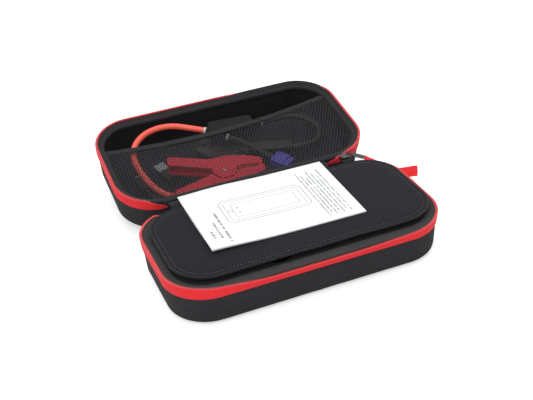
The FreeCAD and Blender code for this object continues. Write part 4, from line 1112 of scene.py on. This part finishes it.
RED_CABLE = [(-.0816, .0186, -.014), (-.0880, .0265, -.014), (-.0928, .0376, -.014), (-.0960, .0512, -.014),
             (-.0980, .0662, -.014), (-.0984, .0815, -.014), (-.0966, .0955, -.013), (-.0895, .1080, -.011),
             (-.0770, .1182, -.010), (-.0612, .1230, -.010), (-.0452, .1210, -.010),
             (-.0300, .1125, -.011), (-.0154, .1038, -.0124)]
BLACK_CABLE = [(.0764, .0578, -.027), (.090, .0574, -.027), (.1007, .0632, -.027), (.1071, .0736, -.0264),
               (.1075, .0858, -.0256), (.1017, .0965, -.0244), (.0913, .1029, -.0228), (.0786, .1042, -.021),
               (.0636, .103, -.019), (.0486, .0998, -.0174)]
PLUG_LEAD = [(.0056, .0848, -.0144), (.0128, .0768, -.0144), (.0196, .0666, -.0144), (.0252, .0554, -.0144),
             (.0304, .0444, -.0144), (.0368, .0352, -.0144)]
USB_LEAD = [(-.0636, .0608, -.0322), (-.0606, .0516, -.0322), (-.0626, .042, -.0322), (-.0702, .0354, -.0322),
            (-.0802, .034, -.0322), (-.0894, .0384, -.0322), (-.0948, .047, -.0322), (-.0954, .0572, -.0322)]


def lid_metres(point):
    """Place of a lid-frame point given in metres."""
    return LID @ (Vector(point) / MM) * MM


def cord(name, route, radius, made, colour):
    """Round cord along its route on a smooth line."""
    data = bpy.data.curves.new(name, "CURVE")
    data.dimensions = "3D"
    data.bevel_depth = radius * MM
    data.bevel_resolution = 5
    data.resolution_u = 12
    data.use_fill_caps = True
    line = data.splines.new("NURBS")
    line.points.add(len(route) - 1)
    for point, place in zip(line.points, route):
        point.co = (*lid_metres(place), 1)
    line.order_u = 3
    line.use_endpoint_u = True
    return finish_piece(new_object(name, data), "lid", made[colour], colour, name.replace("_sleeve", ""))


def cords(made):
    """The jump lead's cables and the charging lead."""
    red = cord("red_cable_sleeve", RED_CABLE, 3.2, made, "cable_red")
    black = cord("black_cable_sleeve", BLACK_CABLE, 3.2, made, "cable_black")
    plug = cord("plug_lead_sleeve", PLUG_LEAD, 3.0, made, "cable_black")
    usb = cord("usb_lead_sleeve", USB_LEAD, 1.5, made, "cable_black")


bpy.context.scene.view_settings.view_transform = "Standard"
camera()
area_light("key", (-0.9, -1.1, 1.5), 1.6, 16)
area_light("top", (0.3, 0.4, 1.9), 1.8, 16)
world_light()
floor()
made = materials()
cords(made)
for half in HALVES:
    case_half(half, made)
zip_tail(made["shell"])
hinge_fabric(made["shell"])
lid_inside(made)
inner_cover(made)
ribbon(made["tape"])
dress_nodes(made)
